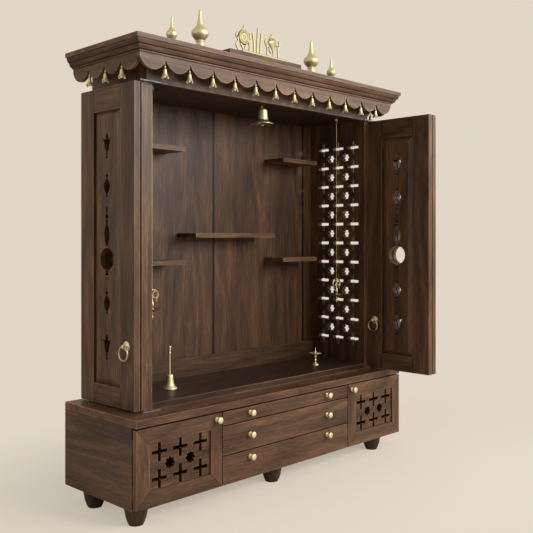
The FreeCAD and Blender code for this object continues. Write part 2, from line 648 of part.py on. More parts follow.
# Crown
def make_cornice():
    """A stepped and coved moulding carried round the front and the two sides, mitred at the corners."""
    high, core = "cornice_high", "soffit_inset + cornice_deep"
    outline = [(core, "0"), ("crown_inset * 0.8", "0"), ("crown_inset * 0.8", "cornice_high * 0.12"),
               ("crown_inset * 0.64", "cornice_high * 0.16", -0.12),
               ("crown_inset * 0.46", "cornice_high * 0.54"),
               ("crown_inset * 0.32", "cornice_high * 0.58", -0.12), ("crown_inset * 0.16", high), (core, high)]
    profile = doc.addObject("Sketcher::SketchObject", "cornice_profile")
    draw(profile, outline)
    place(profile, "left", "rear", "cornice_bottom", (Vector(1, 0, 0), 90))
    reach = "base_depth + crown_overhang"
    path = doc.addObject("Part::Polygon", "cornice_path")
    low = number("cornice_bottom")
    back, wide, deep = number("rear"), number("base_width"), number(reach)
    west = number("left")
    path.Nodes = [Vector(west, back, low), Vector(west, back - deep, low),
                  Vector(west + wide, back - deep, low), Vector(west + wide, back, low)]
    path.Close = False
    doc.recompute()
    sweep = doc.addObject("Part::Sweep", "cornice")
    sweep.Sections = [profile]
    sweep.Spine = (path, ["Edge1", "Edge2", "Edge3"])
    sweep.Solid = True
    sweep.Frenet = False
    sweep.Transition = 1
    keep(sweep, "cornice")


def scalloped(name, role, count, length, reverse):
    """A board with a row of rounded scallops along its lower edge; its top is at local height nought."""
    board = body(name)
    pitch = "(%s) / %d" % (length, count)
    bulge = 2 * number("scallop_deep") / number(pitch)
    corners = [("0", "0"), ("0", "-valance_high", bulge)]
    for index in range(1, count):
        corners.append(("%s * %d" % (pitch, index), "-valance_high", bulge))
    corners += [(length, "-valance_high"), (length, "0")]
    sketch = sketch_on(board, role, [corners], name + "_outline")
    pad(board, sketch, "valance_thick", name + "_pad", reverse=reverse)
    return board


def make_crown():
    """Soffit, cornice, roof and back of the crown, and the scalloped valance that hangs under it."""
    inner = "base_width - 2 * soffit_inset"
    y = "front - crown_overhang + soffit_inset"
    keep(box("crown_soffit", "left + soffit_inset", y, "crown_low", inner, "rear - (%s)" % y,
             "soffit_thick"), "crown_soffit")
    make_cornice()
    keep(box("crown_back", "left + soffit_inset + cornice_deep", "back_face", "cornice_bottom",
             inner + " - 2 * cornice_deep", "back_thick", "cornice_high"), "crown_back")
    keep(box("roof_board", "left", "front - crown_overhang", "roof_low", "base_width",
             "base_depth + crown_overhang", "roof_thick"), "roof_board")
    length = "base_width - 2 * crown_inset"
    top = "cornice_bottom"
    front_board = scalloped("valance_front", "XZ_Plane", int(number("front_scallops")), length, True)
    keep(place(front_board, "left + crown_inset", "valance_face", top), "valance_front")
    deep = "rear - valance_face - valance_thick"
    sides = []
    for side, x in (("left", "left + crown_inset"), ("right", "-left - crown_inset - valance_thick")):
        board = scalloped("valance_" + side, "YZ_Plane", int(number("side_scallops")), deep, False)
        sides.append(place(board, x, "valance_face + valance_thick", top))
    keep(group("valance_sides", sides), "valance_sides")


def row_of_bells(name, role, pitch, copies):
    """A row of little brass bells with stems; their tops are at local height nought."""
    outline = [("0", "-bell_height"), ("bell_mouth", "-bell_height"),
               ("bell_mouth * 0.93", "-bell_height * 0.955"), ("bell_mouth * 0.6", "-bell_height * 0.77", -0.2),
               ("bell_mouth * 0.46", "-bell_height * 0.63", 0.2), ("bell_mouth * 0.12", "-bell_height * 0.54"),
               ("bell_mouth * 0.12", "0"), ("0", "0")]
    owner = body(name)
    sketch = sketch_on(owner, role, [outline], name + "_outline")
    turning = revolve(owner, sketch, name + "_turning")
    repeat(owner, turning, "H_Axis", pitch, copies, name + "_copies")
    return owner


def make_small_bells():
    """A bell in every notch of the valance, along the front and both sides."""
    level = "cornice_bottom - valance_high - bell_drop"
    pitch = "((base_width - 2 * crown_inset) / front_scallops)"
    front_row = row_of_bells("bells_front", "XZ_Plane", pitch, "front_scallops - 1")
    rows = [place(front_row, "left + crown_inset + " + pitch, "valance_face + valance_thick / 2", level)]
    pitch = "((rear - valance_face - valance_thick) / side_scallops)"
    for side, x in (("left", "left + crown_inset + valance_thick / 2"),
                    ("right", "-left - crown_inset - valance_thick / 2")):
        row = row_of_bells("bells_" + side, "YZ_Plane", pitch, "side_scallops - 1")
        rows.append(place(row, x, "valance_face + valance_thick + " + pitch, level))
    keep(group("small_bells", rows), "small_bells")


FINIAL = [(0, 0), (0.62, 0), (0.62, 0.06), (0.36, 0.15, -0.3), (0.36, 0.22), (0.5, 0.25, 0.5), (0.5, 0.3),
          (0.4, 0.33), (0.44, 0.37, 0.24), (1, 0.53, 0.42), (0.5, 0.68, -0.12), (0.2, 0.8, -0.1),
          (0.12, 1), (0, 1)]


def make_finials():
    """Two large and two small turned finials on the roof."""
    for name, height, radius, spread in (
            ("large_finials", "finial_height", "finial_radius", "finial_spread"),
            ("small_finials", "small_finial_height", "small_finial_radius", "small_finial_spread")):
        pair = []
        for side, sign in (("left", "-"), ("right", "")):
            piece = turned("%s_%s" % (name, side), scaled(FINIAL, radius, height))
            pair.append(place(piece, sign + spread, "crown_y", "roof_top"))
        keep(group(name, pair), name)


def make_plinth():
    """The plinth that carries the emblem, with sloping ends."""
    plinth = body("emblem_plinth")
    outline = [("-plinth_length / 2 - plinth_edge", "0"), ("plinth_length / 2 + plinth_edge", "0"),
               ("plinth_length / 2", "plinth_high"), ("-plinth_length / 2", "plinth_high")]
    sketch = sketch_on(plinth, "XZ_Plane", [outline], "plinth_outline")
    pad(plinth, sketch, "plinth_depth", "plinth_pad", both=True)
    place(plinth, 0, "crown_y", "roof_top")
    keep(plinth, "emblem_plinth")


def flat_star(center, outer, inner, points):
    """A flat star face in the XZ plane."""
    corners = []
    for index in range(2 * points + 1):
        reach = outer if index % 2 == 0 else inner
        turn = math.pi / 2 + math.pi * index / points
        corners.append(center + Vector(reach * math.cos(turn), 0, reach * math.sin(turn)))
    return Part.Face(Part.makePolygon(corners))


def emblem_shape():
    """Strip, discus with its flames, three strokes and conch, all flat brass in one piece."""
    long, thick, strip = number("emblem_long"), number("emblem_thick"), number("emblem_strip")
    depth = Vector(0, thick, 0)
    parts = [Part.makeBox(long, 3 * thick, strip, Vector(-long / 2, -thick, 0))]
    disc = Vector(-91, 0, 76)
    ring = Part.Face(Part.Wire(Part.makeCircle(21, disc, Vector(0, 1, 0))))
    parts += [flat_star(disc, 37, 28, 8).extrude(depth), ring.extrude(depth * 1.4)]
    parts.append(Part.makeBox(12, thick, 45, Vector(disc.x - 6, 0, strip - 1)))
    for x, tall, lean in ((-38, 103, -6), (-13, 112, 0), (9, 108, 5)):
        foot = [Vector(x - 3.5, 0, strip - 1), Vector(x + 3.5, 0, strip - 1),
                Vector(x + lean + 4.5, 0, tall), Vector(x + lean - 4.5, 0, tall)]
        parts.append(Part.Face(Part.makePolygon(foot + foot[:1])).extrude(depth))
    conch = Vector(77, 0, 77)
    parts.append(flat_star(conch, 37, 27, 7).extrude(depth))
    parts.append(Part.makeBox(12, thick, 45, Vector(conch.x - 6, 0, strip - 1)))
    shell = Part.makeSphere(19, conch + depth * 0.5)
    squash = FreeCAD.Matrix()
    squash.scale(0.75, 0.32, 1.25)
    moved = shell.translated(-conch).transformGeometry(squash).translated(conch)
    return parts[0].multiFuse(parts[1:] + [moved]).removeSplitter()


def make_emblem():
    """The brass emblem on its plinth."""
    emblem = doc.addObject("Part::Feature", "emblem")
    emblem.Shape = emblem_shape()
    emblem.Placement = Placement(Vector(0, number("crown_y"), number("plinth_top")), Rotation())
    keep(emblem, "emblem")


# Hanging pieces
def make_hook(name, x, y):
    """A wire ring under the ceiling, with the stem that carries it."""
    ring = doc.addObject("Part::Torus", name + "_ring")
    bind(ring, Radius1="hook_ring", Radius2="hook_wire")
    place(ring, x, y, "hook_y", (Vector(1, 0, 0), 90))
    return ring


def make_hooks():
    """The three ceiling rings."""
    hooks = [make_hook("bell_hook", 0, "front + hanging_bell_line"),
             make_hook("left_lamp_hook", "lamp_left", "front + lamp_line"),
             make_hook("right_lamp_hook", "lamp_right", "front + lamp_line")]
    keep(group("ceiling_hooks", hooks), "ceiling_hooks")


def loop_at(name, x, y):
    """The loop of a hanging piece, linked through its ceiling ring."""
    loop = doc.addObject("Part::Torus", name + "_loop")
    bind(loop, Radius1="hook_ring", Radius2="hook_wire")
    return place(loop, x, y, "loop_center", (Vector(0, 1, 0), 90))


def make_hanging_bell():
    """An open cast bell with its loop, and the clapper in it."""
    top = "loop_center - hook_ring"
    mouth, high = "hanging_bell_mouth", "hanging_bell_height"
    outline = [("0", "0"), ("0", "-3"), ("%s * 0.42" % mouth, "-5"), ("%s * 0.45" % mouth, "-%s * 0.7" % high),
               ("%s * 0.58" % mouth, "-%s * 0.86" % high, 0.1), ("%s * 0.92" % mouth, "-" + high),
               (mouth, "-" + high), ("%s * 0.99" % mouth, "-%s * 0.96" % high, -0.1),
               ("%s * 0.68" % mouth, "-%s * 0.84" % high, -0.1), ("%s * 0.545" % mouth, "-%s * 0.7" % high),
               ("%s * 0.49" % mouth, "-%s * 0.05" % high), ("%s * 0.44" % mouth, "0")]
    shell = turned("bell_shell", outline)
    y = "front + hanging_bell_line"
    place(shell, 0, y, top)
    bell = fuse("hanging_bell", [shell, loop_at("hanging_bell", 0, y)])
    keep(bell, "hanging_bell")
    rod = [("0", "-3.5"), ("1.8", "-3.5"), ("1.8", "-%s * 0.86" % high), ("6", "-%s * 0.98" % high, -0.55),
           ("1.5", "-%s * 1.16" % high), ("0", "-%s * 1.16" % high)]
    keep(place(turned("clapper", rod), 0, y, top), "bell_clapper")


def make_hanging_lamp(side, x):
    """A lamp on a long rod: arched ornament, oil dish and the drop under it."""
    name = "hanging_lamp_" + side
    y = "front + lamp_line"
    chain = doc.addObject("Part::Cylinder", name + "_chain")
    bind(chain, Radius="chain_radius", Height="lamp_drop - lamp_high - (header_low - loop_center) - hook_ring")
    place(chain, x, y, "header_low - lamp_drop + lamp_high")
    dish = [("0", "0"), ("lamp_radius * 0.18", "lamp_high * 0.06", 0.2), ("lamp_radius * 0.12", "lamp_high * 0.2"),
            ("lamp_radius * 0.5", "lamp_high * 0.26", 0.1), ("lamp_radius", "lamp_high * 0.36"),
            ("lamp_radius * 0.94", "lamp_high * 0.4"), ("lamp_radius * 0.3", "lamp_high * 0.37"),
            ("lamp_radius * 0.22", "lamp_high * 0.62", 0.2), ("lamp_radius * 0.34", "lamp_high * 0.78", 0.2),
            ("chain_radius", "lamp_high"), ("0", "lamp_high")]
    lamp = turned(name + "_bowl", dish)
    place(lamp, x, y, "header_low - lamp_drop")
    keep(fuse(name, [chain, lamp, loop_at(name, x, y)]), name)


def make_loose_brass():
    """The hand bell and the oil lamp that stand on the shrine floor."""
    mouth, high = "hand_bell_mouth", "hand_bell_height"
    outline = [("0", "%s * 0.25" % high), ("%s * 0.36" % mouth, "%s * 0.24" % high),
               ("%s * 0.6" % mouth, "%s * 0.1" % high, 0.1), ("%s * 0.88" % mouth, "0"), (mouth, "0"),
               (mouth + " * 0.96", high + " * 0.03", -0.15), (mouth + " * 0.66", high + " * 0.13", -0.08),
               (mouth + " * 0.5", high + " * 0.3", 0.3), (mouth + " * 0.17", high + " * 0.36"),
               (mouth + " * 0.13", high + " * 0.43"), (mouth + " * 0.24", high + " * 0.47", 0.3),
               (mouth + " * 0.12", high + " * 0.52"), (mouth + " * 0.1", high + " * 0.74"),
               (mouth + " * 0.19", high + " * 0.78", 0.4), (mouth + " * 0.11", high + " * 0.82"),
               (mouth + " * 0.2", high + " * 0.88", 0.5), (mouth + " * 0.04", high), ("0", high)]
    bell = turned("hand_bell", outline)
    place(bell, "-hand_bell_side", "front + hand_bell_line", "floor_top")
    keep(bell, "hand_bell")
    wide, high = "oil_lamp_radius", "oil_lamp_height"
    lamp = turned("oil_lamp", [
        ("0", "0"), (wide + " * 0.64", "0"), (wide + " * 0.6", high + " * 0.05", -0.25),
        (wide + " * 0.17", high + " * 0.22"), (wide + " * 0.15", high + " * 0.44"),
        (wide + " * 0.32", high + " * 0.5", 0.3), (wide + " * 0.2", high + " * 0.55"),
        (wide + " * 0.6", high + " * 0.58", 0.1), (wide, high + " * 0.64"), (wide + " * 0.97", high + " * 0.67"),
        (wide + " * 0.3", high + " * 0.65"), (wide + " * 0.2", high + " * 0.68"),
        (wide + " * 0.34", high + " * 0.77", 0.3), (wide + " * 0.05", high), ("0", high)])
    place(lamp, "oil_lamp_side", "front + oil_lamp_line", "floor_top")
    keep(lamp, "oil_lamp")


def check():
    """Stop on any failed object or empty piece."""
    for item in doc.Objects:
        if "Invalid" in item.State or "Error" in item.State:
            raise RuntimeError("%s: %s" % (item.Name, item.State))
    for piece in kept:
        shape = piece.Shape
        if shape.isNull() or not shape.isValid() or not shape.Solids:
            raise RuntimeError("bad shape: " + piece.Label)


def write():
    """One STEP file for each kept piece."""
    os.makedirs("parts", exist_ok=True)
    for piece in kept:
        piece.Shape.exportStep(os.path.join("parts", piece.Label + ".step"))


make_base()
make_feet()
make_drawers()
make_base_door("left", -1)
make_base_door("right", 1)
make_door_hinges()
make_shrine()
make_shelves()
make_folding_doors()
make_ring_pulls()
make_crown()
make_small_bells()
make_finials()
make_plinth()
make_emblem()
make_hooks()
make_hanging_bell()
make_hanging_lamp("left", "lamp_left")
make_hanging_lamp("right", "lamp_right")
make_loose_brass()
doc.recompute()
check()
write()
print(len(kept), "pieces")
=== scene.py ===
# %% [markdown]
# # A walnut pooja mandir, dressed for its portrait
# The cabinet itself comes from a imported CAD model, so every board is already in its place and its
# size is settled. This lesson gives the boards their walnut, the fittings their brass, and adds the
# small ornaments that are too fine for the CAD model. All lengths are in metres, X runs along the
# front, Y towards the back and Z up from the floor.

# %% Load the cabinet
import math

import bpy
import numpy as np
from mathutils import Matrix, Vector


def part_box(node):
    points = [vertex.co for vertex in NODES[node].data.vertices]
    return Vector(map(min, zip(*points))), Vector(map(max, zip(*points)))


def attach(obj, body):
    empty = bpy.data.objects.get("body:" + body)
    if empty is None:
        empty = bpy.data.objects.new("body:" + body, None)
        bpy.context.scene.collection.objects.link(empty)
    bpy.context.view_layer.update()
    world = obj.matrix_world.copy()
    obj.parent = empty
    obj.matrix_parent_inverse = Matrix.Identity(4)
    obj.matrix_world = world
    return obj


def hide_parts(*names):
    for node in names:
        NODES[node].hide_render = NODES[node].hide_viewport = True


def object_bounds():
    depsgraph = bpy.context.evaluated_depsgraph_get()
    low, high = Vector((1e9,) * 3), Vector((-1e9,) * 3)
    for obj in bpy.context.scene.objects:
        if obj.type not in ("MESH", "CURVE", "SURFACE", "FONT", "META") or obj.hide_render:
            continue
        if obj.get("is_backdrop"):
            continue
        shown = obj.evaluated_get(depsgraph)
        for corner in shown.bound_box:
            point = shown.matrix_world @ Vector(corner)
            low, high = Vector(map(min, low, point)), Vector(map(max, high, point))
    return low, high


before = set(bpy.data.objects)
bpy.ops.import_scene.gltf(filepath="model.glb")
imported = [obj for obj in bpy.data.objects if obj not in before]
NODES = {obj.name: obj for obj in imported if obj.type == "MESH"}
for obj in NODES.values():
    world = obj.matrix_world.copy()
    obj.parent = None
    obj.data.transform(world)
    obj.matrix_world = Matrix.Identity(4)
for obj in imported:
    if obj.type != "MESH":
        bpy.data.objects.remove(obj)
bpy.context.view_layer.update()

# %% [markdown]
# ## Numbers that can be added in a shader
# A shader is a graph of nodes, and writing every Math node by hand hides the formula. A small
# class that wraps a socket and overloads the arithmetic signs lets the formula be written as a
# formula: each sign adds its own Math node.

# %% A socket that can be calculated with
class Wire:
    """One output socket; arithmetic on it adds Math nodes to its recipe."""

    def __init__(self, recipe, socket):
        self.recipe, self.socket = recipe, socket

    def math(self, operation, first, second=0.0):
        return self.recipe.add("Math", {"operation": operation}, {0: first, 1: second})

    def __add__(self, other):
        return self.math("ADD", self, other)

    def __radd__(self, other):
        return self.math("ADD", other, self)

    def __sub__(self, other):
        return self.math("SUBTRACT", self, other)

    def __rsub__(self, other):
        return self.math("SUBTRACT", other, self)

    def __mul__(self, other):
        return self.math("MULTIPLY", self, other)

    def __truediv__(self, other):
        return self.math("DIVIDE", self, other)

    def __abs__(self):
        return self.math("ABSOLUTE", self)

    def __lt__(self, other):
        return self.math("LESS_THAN", self, other)

    def __gt__(self, other):
        return self.math("GREATER_THAN", self, other)

    def floor(self):
        return self.math("FLOOR", self)

    def fold(self, width):
        """The value folded to and fro between nought and the width."""
        return self.math("PINGPONG", self, width)


# %% [markdown]
# Nodes that aren't arithmetic, such as noises, ramps and shaders, all come from one method, `add`.
# It sets the node's own settings, feeds each input with a plain value or a wire, and gives one
# output back as a wire. The methods below it are the few nodes that most recipes share.

# %% The recipe of one material
class Recipe:
    """The node tree of a material or of the world, with a single way to add a node."""

    def __init__(self, owner):
        self.owner = owner
        self.owner.use_nodes = True
        self.tree = self.owner.node_tree
        self.tree.nodes.clear()

    def add(self, kind, settings=None, inputs=None, out=0):
        """Add a node, set it, feed it with values or wires, and give one output back."""
        node = self.tree.nodes.new("ShaderNode" + kind)
        for name, value in (settings or {}).items():
            if name == "stops":
                self.fill_ramp(node.color_ramp, value)
            else:
                setattr(node, name, value)
        for name, value in (inputs or {}).items():
            if isinstance(value, Wire):
                self.tree.links.new(value.socket, node.inputs[name])
            else:
                node.inputs[name].default_value = value
        return Wire(self, node.outputs[out]) if len(node.outputs) else None

    def fill_ramp(self, ramp, stops):
        """Place the (position, colour) stops of a colour ramp."""
        while len(ramp.elements) < len(stops):
            ramp.elements.new(1.0)
        for element, (position, color) in zip(ramp.elements, stops):
            element.position, element.color = position, (*color, 1.0)

    def place(self):
        """The X, Y and Z of the point that is shaded, in metres."""
        spot = self.add("TexCoord", out="Object")
        return [self.add("SeparateXYZ", inputs={0: spot}, out=axis) for axis in "XYZ"]

    def noise(self, vector, detail=2.0, roughness=0.5):
        """Soft noise of about nought to one over three coordinates."""
        point = self.add("CombineXYZ", inputs=dict(enumerate(vector)))
        inputs = {"Vector": point, "Scale": 1.0, "Detail": detail, "Roughness": roughness}
        return self.add("TexNoise", inputs=inputs)

    def corner(self, reach, inside):
        """One on open surface, less where rays of this reach meet the same piece.

        Rays to the outside find grooves, and rays to the inside find edges.
        """
        settings = {"samples": 6, "inside": inside, "only_local": True}
        return self.add("AmbientOcclusion", settings, {"Distance": reach}, out="AO")

    def finish(self, **sockets):
        """Close the tree with a Principled shader fed by these sockets."""
        inputs = {name.replace("_", " "): value for name, value in sockets.items()}
        shader = self.add("BsdfPrincipled", inputs=inputs)
        self.add("OutputMaterial", inputs={"Surface": shader})
        return self.owner


# %% [markdown]
# ## Walnut
# Sawn walnut shows three things at once. The growth rings come out as long arches, the heart leaves
# broad paler and redder streaks, and the pores are fine dark dashes along the grain. Contour lines
# of a noise that is stretched along the board give the arches, because a plank is cut through
# rings that wander slowly. Other noises, stretched far more, give the streaks and the pores. An
# image would be quicker, but it would stretch on one board and repeat on the next.

# %% The colours and figures of walnut
WALNUT_STOPS = [(0.0, (0.0130, 0.0058, 0.0030)), (0.3, (0.0400, 0.0190, 0.0098)),
                (0.62, (0.0860, 0.0425, 0.0215)), (1.0, (0.1850, 0.0880, 0.0420))]
RING_FIGURE = (1.0, 6.0, 1.5, 0.4)
HEART_FIGURE = (0.9, 8.0, 2.0, 0.55)
STREAK_FIGURE = (5.0, 110.0, 3.0, 0.65)
PORE_FIGURE = (20.0, 350.0, 2.0, 0.6)
RINGS_ACROSS = 13.0
SATIN = 0.46
SHEEN = 0.25


def grain_noise(recipe, place, figure):
    """Noise over (along, across, depth) times a figure's cycles a metre, with its detail and roughness."""
    along, across, depth = place
    lengthways, crossways, detail, roughness = figure
    return recipe.noise((along * lengthways, across * crossways, depth * crossways), detail, roughness)


print("walnut figures:", RING_FIGURE, HEART_FIGURE, STREAK_FIGURE, PORE_FIGURE)

# %% [markdown]
# Finished wood isn't one even brown. Here the grooves of a moulding are darkened with a painted shade, and
# the edges are lightened, partly as wear from hands and partly as a painted highlight. Blender can measure
# both with short rays that look for the same piece: rays to the outside find grooves, and rays to the
# inside find edges. That follows every carved edge, which painting it on by place could not.

# %% The walnut finish
GROOVE_REACH, EDGE_REACH = 0.012, 0.005
GROOVE_SHADE_STRENGTH, PORE_DARK, JOINT_DARK = 0.6, 0.5, 0.9
RINGS_PART, HEART_PART, FINE_PART, BALANCE = 0.26, 0.6, 0.75, 0.685
PORE_DEEP, RING_DEEP, JOINT_DEEP = 0.6, 0.3, 4.0
PORE_ROUGH, STREAK_POLISH, EDGE_POLISH = 0.12, 0.2, 0.1
BUMP, BUMP_DEPTH = 0.35, 0.0004
WEAR_AND_HIGHLIGHT = 1.5


def walnut_finish(recipe, along, across, depth, joint=None, tone=1.0, wear_and_highlight=WEAR_AND_HIGHLIGHT):
    """Value = a half + rings, heart, streaks and pores, each less its own mean and times its weight.

    Colour = ramp(value) * pores * tone * (1 - dark * groove) * (1 + wear_and_highlight * edge) * (1 - dark
    * joint), where the groove term is a painted shade and the edge term is wear with a painted highlight.
    """
    place = (along, across, depth)
    rings = (grain_noise(recipe, place, RING_FIGURE) * RINGS_ACROSS).fold(1.0)
    heart = grain_noise(recipe, place, HEART_FIGURE)
    streaks = grain_noise(recipe, place, STREAK_FIGURE)
    pores = grain_noise(recipe, place, PORE_FIGURE)
    value = rings * RINGS_PART + heart * HEART_PART + streaks * FINE_PART + pores * FINE_PART - BALANCE
    color = recipe.add("ValToRGB", {"stops": WALNUT_STOPS}, {0: value})
    # Grooves are darkened as a painted shade, and edges are lightened partly as wear and partly as a
    # painted highlight.
    painted_groove_shade = recipe.corner(GROOVE_REACH, False)
    edge = 1.0 - recipe.corner(EDGE_REACH, True)
    shade = (pores * PORE_DARK + (1.0 - PORE_DARK / 2)) * tone
    shade = shade * (painted_groove_shade * GROOVE_SHADE_STRENGTH + (1.0 - GROOVE_SHADE_STRENGTH)) * (edge * wear_and_highlight + 1.0)
    height = pores * PORE_DEEP + rings * RING_DEEP
    if joint is not None:
        shade = shade * (1.0 - joint * JOINT_DARK)
        height = height - joint * JOINT_DEEP
    gray = recipe.add("CombineXYZ", inputs={0: shade, 1: shade, 2: shade})
    blend = {"data_type": "RGBA", "blend_type": "MULTIPLY"}
    color = recipe.add("Mix", blend, {0: 1.0, 6: color, 7: gray}, out=2)
    bump = recipe.add("Bump", inputs={"Strength": BUMP, "Distance": BUMP_DEPTH, "Height": height})
    rough = SATIN - streaks * STREAK_POLISH + pores * PORE_ROUGH - edge * EDGE_POLISH
    return recipe.finish(Base_Color=color, Roughness=rough, Normal=bump, Specular_IOR_Level=SHEEN)


def dress(material, *names):
    """Give the material to CAD nodes."""
    for name in names:
        mesh = NODES[name].data
        mesh.materials.clear()
        mesh.materials.append(material)
    print(material.name, "on", len(names), "nodes")


# %% [markdown]
# ## The plain boards
# The boards take their grain from the way they were cut: posts and backs stand, rails, shelves and
# drawer fronts lie along the front, and the sides of the base run towards the wall. One function
# serves them all. It turns the grain to an axis, moves the figure on so that no two boards match,
# and draws a dark seam where the base meets its slab.

# %% Walnut on the plain boards
BOARDS = {
    "X": ("base_bottom", "base_back", "base_top", "shrine_floor", "header_rail", "ceiling_board",
          "back_skirting", "shelves_left", "shelves_right", "middle_shelf_board", "crown_soffit",
          "crown_back", "roof_board", "valance_front", "emblem_plinth", "bottom_drawer_front",
          "middle_drawer_front", "top_drawer_front", "bottom_drawer_box", "middle_drawer_box",
          "top_drawer_box"),
    "Y": ("base_side_left", "base_side_right", "base_dividers", "drawer_runners", "valance_sides"),
    "Z": ("side_wall_left", "side_wall_right", "feet"),
}
# How light each board is where it differs from the rest. The feet are darker stock. The niche's floor,
# skirting and ceiling, the header and the left side of the base are darkened as painted shade. The slab,
# valance front and roof board are lightened as painted light and sheen. WORN_AND_HIGHLIT gives how much
# each edge is lightened, partly as wear and partly as a painted highlight, and the highlight is strongest
# along the fronts of the slab and the niche floor.
TONES_AND_PAINTED_LIGHT = {"feet": 0.42, "shrine_floor": 0.38, "back_skirting": 0.55, "ceiling_board": 0.40,
         "header_rail": 0.85, "base_side_left": 0.80, "base_top": 1.15, "valance_front": 1.35,
         "roof_board": 1.15}
WORN_AND_HIGHLIT = {"base_top": 3.2, "shrine_floor": 7.0}
SEAMED = ("base_side_left", "base_side_right", "base_top")
SEAM = 0.0018
FIRST_SHIFT, NEXT_SHIFT, ASIDE = 0.4, 1.7, 0.37
slab_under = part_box("base_top")[0].z


def board_walnut(name, grain, shift):
    """Walnut for one board with its grain along an axis and its figure moved on by a shift."""
    recipe = Recipe(bpy.data.materials.new("walnut_" + name))
    axes = dict(zip("XYZ", recipe.place()))
    seam = abs(axes["Z"] - slab_under) < SEAM if name in SEAMED else None
    along = axes.pop(grain) + shift
    across, depth = axes.values()
    return walnut_finish(recipe, along, across + shift * ASIDE, depth, joint=seam,
                         tone=TONES_AND_PAINTED_LIGHT.get(name, 1.0), wear_and_highlight=WORN_AND_HIGHLIT.get(name, WEAR_AND_HIGHLIGHT))


for grain, names in BOARDS.items():
    for order, name in enumerate(names):
        dress(board_walnut(name, grain, NEXT_SHIFT * order + FIRST_SHIFT), name)

# %% [markdown]
# ## Boards that meet
# The back is three wide boards side by side, each with its own figure. The shader finds the board
# from X alone and moves the figure on by a few metres for each board.

# %% The three back boards
FIRST_EDGE, BACK_BOARD = -0.0306, 0.581
GAP = 0.0070
NEXT_ALONG, NEXT_ACROSS = 3.7, 0.9
BACK_TONE = 0.71


def back_walnut():
    """Upright walnut whose figure jumps at every board's edge, with a dark line along the edge."""
    recipe = Recipe(bpy.data.materials.new("walnut_back_boards"))
    x, y, z = recipe.place()
    board = ((x - FIRST_EDGE) / BACK_BOARD).floor()
    joint = (abs(x - FIRST_EDGE) < GAP) + (abs(x - (FIRST_EDGE + BACK_BOARD)) < GAP)
    along, across = z + board * NEXT_ALONG, x + board * NEXT_ACROSS
    return walnut_finish(recipe, along, across, y, joint=joint, tone=BACK_TONE)


dress(back_walnut(), "back_boards")

# %% [markdown]
# A door leaf is a frame of two standing stiles and two lying rails about a panel. The rails are
# told from the stiles by their height, so one recipe can turn the grain there, and a thin dark
# line marks the joint between them.

# %% The folding doors
STILE = 0.084
BOTTOM_RAIL = 0.071
LINE = 0.0013
LEAF_SHIFT, RAIL_SHIFT = 9.0, 4.0


def leaf_walnut(name):
    """Upright grain on stiles and panel, lying grain on the rails, dark lines at their joints."""
    low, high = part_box(name)
    recipe = Recipe(bpy.data.materials.new("walnut_" + name))
    x, y, z = recipe.place()
    side = abs(y - (low.y + high.y) / 2)
    inner = (high.y - low.y) / 2 - STILE
    between = side < inner
    end = (z < low.z + BOTTOM_RAIL) + (z > high.z - STILE)
    rail = between * end
    joint = (abs(side - inner) < LINE) * end
    along = z + rail * (y - z + RAIL_SHIFT)
    across = y + rail * (z - y)
    shift = low.x * LEAF_SHIFT
    return walnut_finish(recipe, along + shift, across + shift, x, joint=joint)


for name in ("left_leaf_inner", "left_leaf_outer", "right_leaf_outer", "right_leaf_inner"):
    dress(leaf_walnut(name), name)

# %% [markdown]
# The base doors have mitred frames. A point of the frame belongs to a rail when it is nearer to the
# top or bottom edge than to a side edge, and the mitre is where both distances are the same.

# %% The base doors
RAIL = 0.054
DOOR_SHIFT, STILE_SHIFT = 5.0, 6.0


def mitred_walnut(name):
    """Grain that follows a mitred frame, with dark lines at the mitres."""
    low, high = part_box(name)
    recipe = Recipe(bpy.data.materials.new("walnut_" + name))
    x, y, z = recipe.place()
    to_side = (high.x - low.x) / 2 - abs(x - (low.x + high.x) / 2)
    to_end = (high.z - low.z) / 2 - abs(z - (low.z + high.z) / 2)
    stile = (to_side < to_end) * (to_side < RAIL)
    joint = (abs(to_side - to_end) < LINE) * (to_side < RAIL)
    along = x + stile * (z - x + STILE_SHIFT)
    across = z + stile * (x - z)
    return walnut_finish(recipe, along + low.x * DOOR_SHIFT, across, y, joint=joint)


for name in ("base_door_left", "base_door_right"):
    dress(mitred_walnut(name), name)

# %% [markdown]
# The cornice is one moulding carried round three sides, so its grain runs along the front and then
# turns at the mitred corners. Its steps, which are found by their share of the moulding's height, are
# darkened as painted shadow lines, and its sides are darkened as painted shade.

# %% The cornice
LOWER_STEP, UPPER_STEP, TOP_STEP = 0.14, 0.56, 0.95
LOWER_HALF, UPPER_HALF = 0.035, 0.03
STEP_SHADOW_DARK, FRONT_TONE, PAINTED_SIDE_SHADE, SIDE_SHIFT = 0.75, 1.05, 0.42, 3.0


def cornice_walnut():
    """Grain along X in front of the mitre planes and along Y beside them, with painted shadows in the steps
    and painted shade on the sides.
    """
    low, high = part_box("cornice")
    recipe = Recipe(bpy.data.materials.new("walnut_cornice"))
    x, y, z = recipe.place()
    to_side = high.x - abs(x)
    side = to_side < y - low.y
    mitre = abs(to_side - (y - low.y)) < LINE
    share = (z - low.z) / (high.z - low.z)
    # The moulding's steps are darkened as painted shadow lines.
    step_shadows = (abs(share - LOWER_STEP) < LOWER_HALF) + (abs(share - UPPER_STEP) < UPPER_HALF)
    step_shadows = step_shadows + (share > TOP_STEP)
    joint = mitre + (1.0 - mitre) * step_shadows * STEP_SHADOW_DARK
    along = x + side * (y - x + SIDE_SHIFT)
    across = y + side * (x - y)
    # The sides of the cornice are darker as painted shade.
    return walnut_finish(recipe, along, across + z, z, joint=joint, tone=FRONT_TONE - side * PAINTED_SIDE_SHADE)


dress(cornice_walnut(), "cornice")

